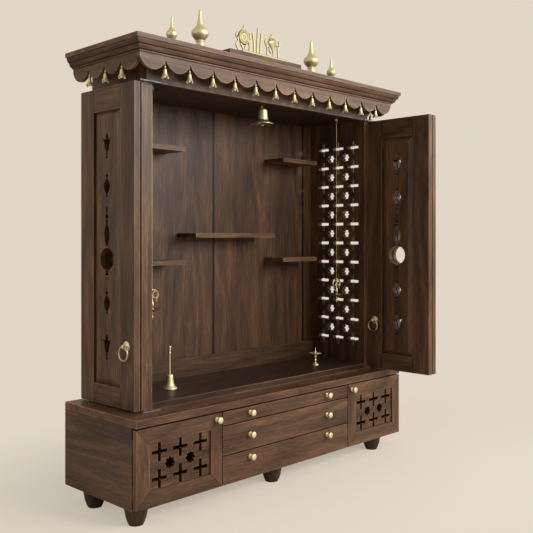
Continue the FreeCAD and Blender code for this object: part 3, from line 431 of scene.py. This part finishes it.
# %% [markdown]
# ## Metals
# The fittings are brass with a pale satin skin: a metal shader with a warm tint and a middling
# roughness that a soft noise varies a little, so that the turned shapes don't look like plastic.
# The hanging pieces have aged, the emblem is a darker casting, and the pivots are steel.

# %% Brass and steel
MOTTLES = 60.0


def metal(name, color, rough, mottle=0.08):
    """A metal whose roughness wanders gently."""
    recipe = Recipe(bpy.data.materials.new(name))
    spots = recipe.noise([axis * MOTTLES for axis in recipe.place()])
    wandering = rough - mottle / 2 + spots * mottle
    return recipe.finish(Base_Color=(*color, 1.0), Metallic=1.0, Roughness=wandering)


BRASS = metal("satin_brass", (0.60, 0.54, 0.33), 0.58)
CAST_BRASS = metal("cast_brass", (0.34, 0.305, 0.18), 0.60, 0.16)
AGED_BRASS = metal("aged_brass", (0.38, 0.33, 0.18), 0.42)
STEEL = metal("brushed_steel", (0.16, 0.165, 0.175), 0.6)
BROWNED_STEEL = metal("browned_steel", (0.07, 0.05, 0.04), 0.5)
dress(BRASS, "small_bells", "oil_lamp", "ring_rosettes", "bottom_drawer_knobs", "middle_drawer_knobs",
      "top_drawer_knobs", "base_door_left_knob", "base_door_right_knob", "fold_hinges", "ceiling_hooks",
      "large_finials", "small_finials", "emblem", "hand_bell", "hanging_lamp_left", "hanging_lamp_right")
dress(AGED_BRASS, "hanging_bell", "bell_clapper", "ring_pull_left", "ring_pull_right")
dress(STEEL, "pivot_plates")
dress(BROWNED_STEEL, "base_door_hinges")

# %% [markdown]
# ## Turned brass
# The ornaments are too fine for the CAD model, so their surfaces are worked out here as arrays of
# points. Most of them come off a lathe: a profile of radius and height is turned about an upright
# axis. Where the profile is round, a smooth curve through a few chosen points gives it.

# %% Smooth curves and turned surfaces
def smooth_curve(points, count=40):
    """A Catmull-Rom curve: p(t) = half of 2b + (c-a)t + (2a-5b+4c-d)t^2 + (3b-a-3c+d)t^3."""
    points = np.asarray(points, float)
    padded = np.vstack([2 * points[0] - points[1], points, 2 * points[-1] - points[-2]])
    place = np.linspace(0, len(points) - 1, count)
    span = np.minimum(place.astype(int), len(points) - 2)
    t = (place - span)[:, None]
    a, b, c, d = (padded[span + step] for step in range(4))
    bend = (2 * a - 5 * b + 4 * c - d) * t ** 2 + (3 * b - a - 3 * c + d) * t ** 3
    return 0.5 * (2 * b + (c - a) * t + bend)


def grid_faces(rows, columns, closed=False):
    """Quads over a grid of rows by columns whose columns join round; closed joins the rows too."""
    row = np.arange(rows if closed else rows - 1)[:, None]
    column = np.arange(columns)[None, :]
    after, beside = (row + 1) % rows, (column + 1) % columns
    quads = np.stack([row * columns + column, row * columns + beside,
                      after * columns + beside, after * columns + column], -1)
    return quads.reshape(-1, 4).tolist()


def turned(profile, segments=40):
    """A profile of (radius, height) turned about Z: x = r cos a, y = r sin a."""
    radius, height = np.asarray(profile, float).T
    turn = np.linspace(0, 2 * np.pi, segments, endpoint=False)
    points = np.stack([np.outer(radius, np.cos(turn)), np.outer(radius, np.sin(turn)),
                       np.outer(height, np.ones(segments))], -1)
    return points.reshape(-1, 3), grid_faces(len(radius), segments)


print("a turned band:", len(turned([(1, 0), (1, 1)])[0]), "points")

# %% [markdown]
# A part is a pair of points and faces. Parts are put in their places first, and then joined into
# one object that belongs to a body of the cabinet, so that it swings or slides with that body. An
# object that shows a CAD node more finely stands for that node, which is then hidden.

# %% From parts to an object
MM = 0.001


def moved(part, shift=(0, 0, 0), scale=1.0, turn=0.0):
    """A part scaled, turned about Z and then shifted."""
    points, faces = part
    points = points * scale
    east, north = np.cos(turn), np.sin(turn)
    spun = np.column_stack([points[:, 0] * east - points[:, 1] * north,
                            points[:, 0] * north + points[:, 1] * east, points[:, 2]])
    return spun + shift, faces


def piece(name, parts, material, body="mandir", stands_for=(), crease=35.0):
    """One object from several parts, riding on a CAD body and standing for CAD nodes."""
    starts = np.cumsum([0] + [len(points) for points, faces in parts])
    faces = [[index + start for index in face] for start, part in zip(starts, parts) for face in part[1]]
    mesh = bpy.data.meshes.new(name)
    mesh.from_pydata(np.vstack([part[0] for part in parts]).tolist(), [], faces)
    mesh.materials.append(material)
    mesh.shade_smooth()
    mesh.set_sharp_from_angle(angle=math.radians(crease))
    thing = bpy.data.objects.new(name, mesh)
    bpy.context.scene.collection.objects.link(thing)
    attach(thing, body)
    if stands_for:
        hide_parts(*stands_for)
    print(name + ":", len(mesh.vertices), "points, on", body)


def middle_of(name):
    """The middle of a CAD node's box and its lowest and highest level."""
    low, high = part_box(name)
    return np.array(((low.x + high.x) / 2, (low.y + high.y) / 2)), low.z, high.z


# %% [markdown]
# ## Finials
# A finial is an onion bulb on a ringed neck. The bulb is fuller below than above and ends in a
# blunt spike, and only its neck has sharp edges, so the profile is straight there and smooth above.

# %% The four finials
NECK = [(0, 0), (0.60, 0), (0.60, 0.05), (0.50, 0.07), (0.34, 0.15), (0.34, 0.22), (0.42, 0.26),
        (0.52, 0.285), (0.54, 0.31), (0.52, 0.335), (0.44, 0.345), (0.44, 0.362), (0.50, 0.372),
        (0.50, 0.388), (0.46, 0.395)]
BULB = [(0.47, 0.395), (0.60, 0.415), (0.80, 0.455), (0.95, 0.495), (1.0, 0.535), (0.96, 0.575),
        (0.84, 0.605), (0.68, 0.632), (0.52, 0.662), (0.39, 0.70), (0.28, 0.775), (0.215, 0.86),
        (0.165, 0.955), (0.11, 0.985), (0.0, 1.0)]


def finials(name):
    """Two finials where the CAD node has them, as wide and as tall as it is."""
    low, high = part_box(name)
    radius, tall = (high.y - low.y) / 2, high.z - low.z
    profile = np.vstack([NECK, smooth_curve(BULB, 60)]) * (radius, tall)
    parts = [moved(turned(profile, 56), (x, (low.y + high.y) / 2, low.z))
             for x in (low.x + radius, high.x - radius)]
    piece(name + "_turned", parts, BRASS, stands_for=(name,), crease=50)


finials("large_finials")
finials("small_finials")

# %% [markdown]
# ## Hand bell
# The hand bell is a thin cup with a flared mouth under a slender handle with three knobs. All of it
# is turned from one profile in millimetres, which starts inside the cup, so that the cup is hollow.

# %% The hand bell
HAND_BELL = [(0, 50), (11, 49), (13, 30), (17, 14), (27, 0.5), (29.2, 0), (29.5, 1.5), (28.5, 4), (23, 8.5),
             (18.5, 14), (16, 22), (14.5, 32), (13.6, 44), (13.2, 51), (11.5, 54), (5, 55), (3.6, 56),
             (3.6, 57), (5.2, 59), (5.2, 61), (2.8, 63.5), (2.5, 132), (4.4, 134), (4.8, 137), (4.0, 140),
             (3.0, 142), (3.0, 146), (4.6, 148), (5.0, 150.5), (4.2, 153), (3.4, 154), (5.4, 156),
             (6.2, 159.5), (5.0, 163), (1.5, 164), (0, 164)]
bell_spot, bell_foot, _ = middle_of("hand_bell")
piece("hand_bell_turned", [moved(turned(HAND_BELL, 48), (*bell_spot, bell_foot), MM)], BRASS,
      stands_for=("hand_bell",), crease=40)

# %% [markdown]
# ## Oil lamp
# The oil lamp is a stack of beads on a stepped foot, with a shallow dish for the oil near its top
# and a spike above. Its profile is in shares of the CAD node's own radius and height, so it fills
# the same box.

# %% The oil lamp
OIL_LAMP = [(0, 0), (0.60, 0), (0.60, 0.02), (0.52, 0.05), (0.30, 0.11), (0.15, 0.15), (0.11, 0.19),
            (0.19, 0.23), (0.22, 0.27), (0.15, 0.31), (0.11, 0.36), (0.11, 0.41), (0.19, 0.45),
            (0.22, 0.49), (0.15, 0.53), (0.10, 0.56), (0.30, 0.58), (0.75, 0.62), (1.0, 0.67),
            (1.0, 0.69), (0.75, 0.67), (0.30, 0.64), (0.15, 0.66), (0.19, 0.71), (0.15, 0.76),
            (0.08, 0.80), (0.10, 0.84), (0.05, 0.89), (0.03, 0.99), (0, 1.0)]
low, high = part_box("oil_lamp")
oil_spot, oil_foot, oil_top = middle_of("oil_lamp")
oil_profile = np.array(OIL_LAMP) * ((high.x - low.x) / 2, oil_top - oil_foot)
piece("oil_lamp_turned", [moved(turned(oil_profile, 48), (*oil_spot, oil_foot))], BRASS,
      stands_for=("oil_lamp",), crease=50)

# %% [markdown]
# ## Hanging lamps
# A hanging lamp has a turned drop and dish below and a bud above. Over the bud two loops and two
# curling arms make a lyre that the chain holds. They are round bars bent in the plane of the front,
# so a second way of making a surface is needed: a circle carried along a path.

# %% Bent bars
def bent_bar(path, radius, closed=False, sides=12):
    """A round bar along a path in the XZ plane: centre + r (cos a) normal + r (sin a) Y."""
    path = np.asarray(path, float)
    radius = np.broadcast_to(radius, len(path))[:, None]
    ahead = np.roll(path, -1, 0) - np.roll(path, 1, 0) if closed else np.gradient(path, axis=0)
    ahead = ahead / np.linalg.norm(ahead, axis=1, keepdims=True)
    turn = np.linspace(0, 2 * np.pi, sides, endpoint=False)
    sideways = radius * np.cos(turn)
    x = path[:, :1] - ahead[:, 1:] * sideways
    z = path[:, 1:] + ahead[:, :1] * sideways
    points = np.stack([x, radius * np.sin(turn), z], -1).reshape(-1, 3)
    return points, grid_faces(len(path), sides, closed)


def oval(across, height, half_wide, half_high, count):
    """Points round an oval in the XZ plane."""
    turn = np.linspace(0, 2 * np.pi, count, endpoint=False)
    return np.column_stack([across + half_wide * np.cos(turn), height + half_high * np.sin(turn)])


print("a bent ring:", len(bent_bar(oval(0, 0, 1, 1, 28), 0.1, closed=True)[0]), "points")

# %% [markdown]
# The lamp is laid out in millimetres from its lowest point. The chain is so fine that its links
# don't show in the portrait, so it is a thin rod up to the eye that hooks into the ceiling ring.

# %% The two hanging lamps
DISH = [(0, 0), (1.2, 0.6), (3.2, 8), (4.2, 14), (2.2, 18), (2.2, 20), (4.8, 22.5), (5.2, 25.5), (2.6, 28),
        (2.6, 30), (8, 31), (18, 33), (27, 37), (30, 41.5), (29, 42), (22, 39), (12, 37), (8, 38),
        (7.2, 42), (3.6, 45), (5.6, 50), (6.6, 55), (5.4, 61), (3.2, 68), (2.0, 76), (2.0, 80), (0, 80)]
KNOT = [(0, 78), (2.6, 79), (2.6, 82), (1.0, 84), (1.0, 104), (3.0, 106), (3.4, 109), (2.6, 112)]
ARM = [(1.5, 108), (11, 109), (22, 103), (27.5, 92), (24, 81), (18.5, 74), (19.5, 68), (24.5, 68)]
LOOP = (12.0, 92.0, 9.5, 12.0)
LOOP_WIRE, EYE, EYE_WIRE, CHAIN = 1.9, 4.5, 1.5, 0.55


def lamp_lyre():
    """Two loops side by side and an arm curling round each, mirrored about the chain."""
    loop, arm = oval(*LOOP, 40), smooth_curve(ARM, 48)
    thin = np.linspace(2.0, 1.3, len(arm))
    parts = []
    for mirror in ((1, 1), (-1, 1)):
        parts.append(bent_bar(loop * mirror, LOOP_WIRE, closed=True))
        parts.append(bent_bar(arm * mirror, thin))
    return parts


def hanging_lamp(side):
    """The dish, the lyre, the chain and the eye of one lamp, as tall as its CAD node."""
    name = "hanging_lamp_" + side
    spot, low, high = middle_of(name)
    tall = (high - low) / MM
    chain_end = tall - 2 * EYE - 1.0
    eye = oval(0.0, tall - EYE - EYE_WIRE, EYE, EYE, 28)
    parts = [turned(DISH, 40), turned(KNOT + [(CHAIN, 114), (CHAIN, chain_end), (0, chain_end)], 16),
             moved(bent_bar(eye, EYE_WIRE, closed=True), turn=math.pi / 2)]
    parts = [moved(part, (*spot, low), MM) for part in parts + lamp_lyre()]
    piece(name + "_worked", parts, AGED_BRASS, body="lamp_" + side, stands_for=(name,), crease=50)


hanging_lamp("left")
hanging_lamp("right")

# %% [markdown]
# ## Little bells
# Each of the eighteen bells hangs on a wire from a notch of the valance. It is a flared cup with a
# knob on top, and three tiny balls hang round its mouth, one towards the front and two beside it.
# The notches are evenly spaced, so their places follow from the valance's own length.

# %% Where the little bells hang
VALANCE, SCALLOPS_FRONT, SCALLOPS_SIDE = 0.012, 13, 4


def bell_spots():
    """The middle of every bell: the inner ends of the scallops along the front and the two sides."""
    low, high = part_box("valance_front")
    front_x = np.linspace(low.x, high.x, SCALLOPS_FRONT + 1)[1:-1]
    rows = [np.column_stack([front_x, np.full(len(front_x), (low.y + high.y) / 2)])]
    low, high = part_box("valance_sides")
    side_y = np.linspace(low.y, high.y, SCALLOPS_SIDE + 1)[1:-1]
    for x in (low.x + VALANCE / 2, high.x - VALANCE / 2):
        rows.append(np.column_stack([np.full(len(side_y), x), side_y]))
    return np.vstack(rows)


print("little bells:", len(bell_spots()))

# %% [markdown]
# One bell and one ball are enough, because every copy is the same part moved to another spot. All
# the copies go into one object, since none of them moves by itself.

# %% The eighteen little bells
LITTLE_BELL = [(0, 6), (6, 5.5), (10, 0.8), (13, 0), (13.4, 0.9), (12.6, 2), (9.6, 7), (7.5, 13), (6.5, 20),
               (6, 25), (4.6, 28.5), (1.8, 30), (1.2, 31), (2.9, 32.5), (3.3, 35), (2.3, 37.5), (0.8, 39)]
HANGER, HANGER_FOOT, LIFT = 0.7, 41, 8.0
BALL_RING, BALL, BALL_SUNK = 0.0105, 0.0038, 0.55
BALL_TURNS = (-135, -15, 105)


def ball_profile(radius):
    """A half circle from pole to pole."""
    turn = np.linspace(-np.pi / 2, np.pi / 2, 11)
    return np.column_stack([radius * np.cos(turn), radius * np.sin(turn)])


def little_bells():
    """A turned bell at every spot, with three balls 120 degrees apart, half sunk in its rim."""
    _, foot, top = middle_of("small_bells")
    mouth = foot + LIFT * MM
    hanger_top = (top - mouth) / MM
    hanger = [(HANGER, HANGER_FOOT), (HANGER, hanger_top), (0, hanger_top)]
    bell = turned(np.array(LITTLE_BELL + hanger) * MM, 28)
    ball = turned(ball_profile(BALL), 14)
    parts = []
    for x, y in bell_spots():
        parts.append(moved(bell, (x, y, mouth)))
        for turn in np.radians(BALL_TURNS):
            aside, ahead = BALL_RING * math.cos(turn), BALL_RING * math.sin(turn)
            parts.append(moved(ball, (x + aside, y + ahead, mouth - BALL * BALL_SUNK)))
    return parts


piece("small_bells_turned", little_bells(), BRASS, stands_for=("small_bells",), crease=45)

# %% [markdown]
# ## The emblem
# The emblem is cast flat: a discus and a conch, each ringed by flames and standing on feet, with
# three upright strokes between them. Every flame, foot and stroke is a tongue with its own middle
# line and widths, so the whole emblem is a short table of tongues, cut from plate.

# %% Tongues of brass
DISCUS, CONCH = (-88.0, 73.0), (78.0, 74.0)
CASTING = 5.0
TONGUES = [
    ([(-88, 88), (-90, 100), (-87, 108), (-91, 120)], (32, 20, 10, 0.6)),
    ([(-122, 93), (-129, 76), (-119, 57), (-129, 38), (-118, 20), (-116, 4)], (1, 10, 7, 10, 7, 10)),
    ([(-58, 95), (-52, 76), (-58, 58), (-53, 40), (-56, 22), (-55, 4)], (1, 10, 8, 10, 8, 9)),
    ([(-106, 48), (-96, 32), (-89, 18)], (8, 7, 3)),
    ([(-70, 48), (-80, 32), (-87, 18)], (8, 7, 3)),
    ([(-128, 72), (-110, 68)], (7, 7)),
    ([(-53, 72), (-66, 68)], (7, 7)),
    ([(-36, 101), (-29, 50), (-30, 4)], (10, 9, 7)),
    ([(-9, 125), (-11, 60), (-11, 4)], (3, 9, 11)),
    ([(16, 107), (9, 50), (8, 4)], (12, 10, 8)),
    ([(76, 88), (74, 98), (76, 106), (72, 116)], (36, 22, 10, 0.6)),
    ([(42, 92), (37, 78), (44, 64), (50, 48), (48, 30), (53, 4)], (1, 10, 8, 9, 8, 9)),
    ([(115, 94), (120, 80), (112, 66), (113, 48), (115, 30), (111, 4)], (1, 10, 9, 9, 8, 9)),
    ([(82, 56), (87, 36), (86, 4)], (14, 9, 10)),
    ([(60, 60), (62, 46), (70, 34)], (7, 6, 2)),
    ([(42, 72), (60, 72)], (7, 7)),
    ([(116, 72), (98, 72)], (7, 7)),
]


def tongue_outline(middle, widths, count=24):
    """The outline of a tongue: a smooth middle line, with half of the width on either side."""
    line = smooth_curve(middle, count)
    ahead = np.gradient(line, axis=0)
    ahead = ahead / np.linalg.norm(ahead, axis=1, keepdims=True)
    spread = np.interp(np.linspace(0, 1, count), np.linspace(0, 1, len(widths)), widths)[:, None] / 2
    sideways = np.column_stack([-ahead[:, 1], ahead[:, 0]]) * spread
    return np.vstack([line + sideways, (line - sideways)[::-1]])


def plate(outline, thickness):
    """A flat plate in the XZ plane, with the outline as its front and back and quads round its rim."""
    outline = np.asarray(outline, float)
    count = len(outline)
    front = np.column_stack([outline[:, 0], np.full(count, -thickness / 2), outline[:, 1]])
    back = front + (0, thickness, 0)
    first = np.arange(count)
    after = (first + 1) % count
    rim = np.stack([first, first + count, after + count, after], -1).tolist()
    return np.vstack([front, back]), [first.tolist(), (first[::-1] + count).tolist()] + rim


print("tongues in the emblem:", len(TONGUES))

# %% [markdown]
# The discus and the conch stand out from the flat tongues. Both are turned: the discus is then laid
# on its side to face the front, and the conch is squeezed flat and leaned over.

# %% Discus, conch and the whole casting
DISCUS_PROFILE = [(0, 5.5), (5, 5), (8, 3.2), (16, 2.6), (21, 4.8), (25, 6.2), (29, 4.8), (31, 1)]
DISCUS_BACK = [(31, -3), (0, -3)]
CONCH_PROFILE = [(0, -32), (7, -28), (12, -17), (19, -4), (25, 7), (24, 15), (15, 20), (16, 22), (7, 27),
                 (0, 30)]
CONCH_LEAN, CONCH_FLAT = math.radians(20), 0.36


def discus():
    """A raised ring, a dished middle and a boss, turned and laid flat against the front."""
    points, faces = turned(np.vstack([smooth_curve(DISCUS_PROFILE, 36), DISCUS_BACK]), 44)
    return np.column_stack([points[:, 0], -points[:, 2], points[:, 1]]) + (DISCUS[0], 0, DISCUS[1]), faces


def conch():
    """A leaning spindle shell, squeezed from front to back."""
    points, faces = turned(smooth_curve(CONCH_PROFILE, 44), 36)
    x, z = points[:, 0], points[:, 2]
    east, up = math.cos(CONCH_LEAN), math.sin(CONCH_LEAN)
    leaning = np.column_stack([x * east - z * up, points[:, 1] * CONCH_FLAT, x * up + z * east])
    return leaning + (CONCH[0], 0, CONCH[1]), faces


emblem_spot, emblem_foot, _ = middle_of("emblem")
emblem = [discus(), conch()] + [plate(tongue_outline(*tongue), CASTING) for tongue in TONGUES]
piece("emblem_cast", [moved(part, (*emblem_spot, emblem_foot), MM) for part in emblem], CAST_BRASS,
      stands_for=("emblem",))

# %% [markdown]
# The casting stands in a low brass strip near the front edge of the plinth. The strip is a slab
# whose top edge climbs in small steps, which catch the light as a rounded edge would.

# %% The foot of the emblem
FOOT_HALF, FOOT_BACK, FOOT_SETBACK = 0.137, 0.008, 0.002
FOOT_LEVELS = [(0.0, 0.0), (0.0, 0.005), (0.001, 0.0068), (0.003, 0.0075)]


def stepped_slab(west, east, south, north, levels):
    """A low slab whose edge climbs through (inset, height) levels, with a flat top and bottom."""
    rings = []
    for inset, height in levels:
        rings += [(west + inset, south + inset, height), (east - inset, south + inset, height),
                  (east - inset, north - inset, height), (west + inset, north - inset, height)]
    last = len(rings) - 4
    bottom, top = [3, 2, 1, 0], [last, last + 1, last + 2, last + 3]
    return np.array(rings), grid_faces(len(levels), 4) + [bottom, top]


plinth_low, plinth_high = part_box("emblem_plinth")
foot_levels = [(inset, plinth_high.z + rise) for inset, rise in FOOT_LEVELS]
foot_edges = (-FOOT_HALF, FOOT_HALF, plinth_low.y + FOOT_SETBACK, emblem_spot[1] + FOOT_BACK)
piece("emblem_foot", [stepped_slab(*foot_edges, foot_levels)], CAST_BRASS, crease=20)

# %% [markdown]
# ## Screws
# The pivot plates on the slab are held by two screws each. A screw head is a shallow dome with a
# ring cut into it, turned from a short profile. The plates' own box says where the screws go.

# %% Screws on the lower pivot plates
SCREW = [(0, 0.7), (0.9, 0.7), (0.9, 0.2), (1.4, 0.2), (1.4, 0.7), (3.0, 0.5), (3.4, 0), (3.4, -0.5)]
PLATE_THICK = 0.003
plates_low, plates_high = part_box("pivot_plates")
plates_spot, slab_top, _ = middle_of("pivot_plates")
screw_places = (plates_low.x + 0.038, plates_low.x + 0.064, plates_high.x - 0.061, plates_high.x - 0.035)
screws = [moved(turned(SCREW, 20), (x, plates_spot[1], slab_top + PLATE_THICK), MM) for x in screw_places]
piece("plate_screws", screws, STEEL)

# %% [markdown]
# ## Studio
# The portrait is taken in a warm pale studio. The floor near the cabinet is a plain matt surface
# that takes its shadow. Farther out it fades into the colour of the backdrop, so no horizon shows.

# %% The floor
BACKDROP = (0.755, 0.675, 0.570)
NEAR_GLOW = 0.55
FADE_START, FADE_END = 0.35, 1.5
FLOOR_REACH, FLOOR_OVAL = 30.0, 0.4


def floor_material():
    """Matt floor near the middle, blending with distance into the backdrop's colour."""
    recipe = Recipe(bpy.data.materials.new("studio_floor"))
    x, y, z = recipe.place()
    distance = recipe.add("Math", {"operation": "SQRT"}, {0: x * x * FLOOR_OVAL + y * y})
    fade = recipe.add("MapRange", {"interpolation_type": "SMOOTHSTEP"},
                      {0: distance, 1: FADE_START, 2: FADE_END, 3: NEAR_GLOW, 4: 1.0})
    seen = recipe.add("LightPath", out="Is Camera Ray")
    matt = recipe.add("BsdfDiffuse", inputs={"Color": (*BACKDROP, 1.0)})
    glow = recipe.add("Emission", inputs={"Color": (*BACKDROP, 1.0), "Strength": 1.0})
    mixed = recipe.add("MixShader", inputs={0: fade * seen, 1: matt, 2: glow})
    recipe.add("OutputMaterial", inputs={"Surface": mixed})
    return recipe.owner


floor_mesh = bpy.data.meshes.new("floor")
corners = [(-FLOOR_REACH, -FLOOR_REACH, 0), (FLOOR_REACH, -FLOOR_REACH, 0),
           (FLOOR_REACH, FLOOR_REACH, 0), (-FLOOR_REACH, FLOOR_REACH, 0)]
floor_mesh.from_pydata(corners, [], [(0, 1, 2, 3)])
floor_mesh.materials.append(floor_material())
floor = bpy.data.objects.new("floor", floor_mesh)
bpy.context.scene.collection.objects.link(floor)
floor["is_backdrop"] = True
print("floor:", 2 * FLOOR_REACH, "m wide")

# %% [markdown]
# The world has two jobs. Seen directly or in a reflection it is the pale backdrop, and for all
# other rays it is a weaker, warm light from every side that keeps the shadows open.

# %% The backdrop
AMBIENT, AMBIENT_POWER = (1.0, 0.96, 0.90), 0.42
sky = Recipe(bpy.data.worlds.new("studio"))
bpy.context.scene.world = sky.owner
shown = sky.add("Background", inputs={"Color": (*BACKDROP, 1.0), "Strength": 1.0})
ambient = sky.add("Background", inputs={"Color": (*AMBIENT, 1.0), "Strength": AMBIENT_POWER})
direct, mirrored = (sky.add("LightPath", out="Is %s Ray" % kind) for kind in ("Camera", "Glossy"))
either = sky.add("Math", {"operation": "MAXIMUM"}, {0: direct, 1: mirrored})
sky.add("OutputWorld", inputs={"Surface": sky.add("MixShader", inputs={0: either, 1: ambient, 2: shown})})
print("world nodes:", len(sky.tree.nodes))

# %% [markdown]
# Three square lamps light the cabinet as softboxes would. A broad key lamp stands in front, a weak
# one lights the left side, and a third at the far right puts a sheen on the crown.

# %% Lamps
def softbox(name, place, target, size, power, color):
    """A square area lamp at a place, aimed at a target."""
    lamp = bpy.data.lights.new(name, "AREA")
    lamp.size, lamp.energy, lamp.color = size, power, color
    box = bpy.data.objects.new(name, lamp)
    box.location = place
    aim = Vector(target) - Vector(place)
    box.rotation_euler = aim.to_track_quat("-Z", "Y").to_euler()
    bpy.context.scene.collection.objects.link(box)
    print(name, "lamp:", power, "W")


softbox("key", (1.2, -4.2, 2.6), (-0.1, 0.0, 0.9), 2.2, 250, (1.0, 0.98, 0.95))
softbox("side", (-4.0, 0.3, 1.5), (-0.6, 0.1, 1.0), 2.0, 38, (0.94, 0.97, 1.0))
softbox("sheen", (4.4, -3.6, 2.5), (0.0, 0.0, 1.2), 1.5, 70, (1.0, 0.98, 0.96))

# %% [markdown]
# ## Camera
# The camera stands a little above the middle of the cabinet and looks level, so that upright edges
# stay upright. The lens is shifted instead of tilted. Its focal length and the row of the horizon
# are in pixels of a square picture.

# %% Camera
PICTURE, FOCAL, HORIZON = 533.0, 770.0, 239.018
SENSOR = 36.0
lens = bpy.data.cameras.new("camera")
lens.lens, lens.sensor_width = SENSOR * FOCAL / PICTURE, SENSOR
lens.shift_y = (HORIZON - PICTURE / 2) / PICTURE
camera = bpy.data.objects.new("camera", lens)
camera.location = (-2.257457, -2.181691, 0.964782)
camera.rotation_euler = (math.pi / 2, 0.0, -0.794832)
bpy.context.scene.collection.objects.link(camera)
bpy.context.scene.camera = camera
bpy.context.scene.view_settings.view_transform = "Standard"
print("lens:", round(lens.lens, 2), "mm, shift:", round(lens.shift_y, 4))

# %% [markdown]
# ## Sizes
# Last, the box round all that shows is measured, leaving out the floor. No added ornament may make
# the cabinet larger.

# %% Sizes
low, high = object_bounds()
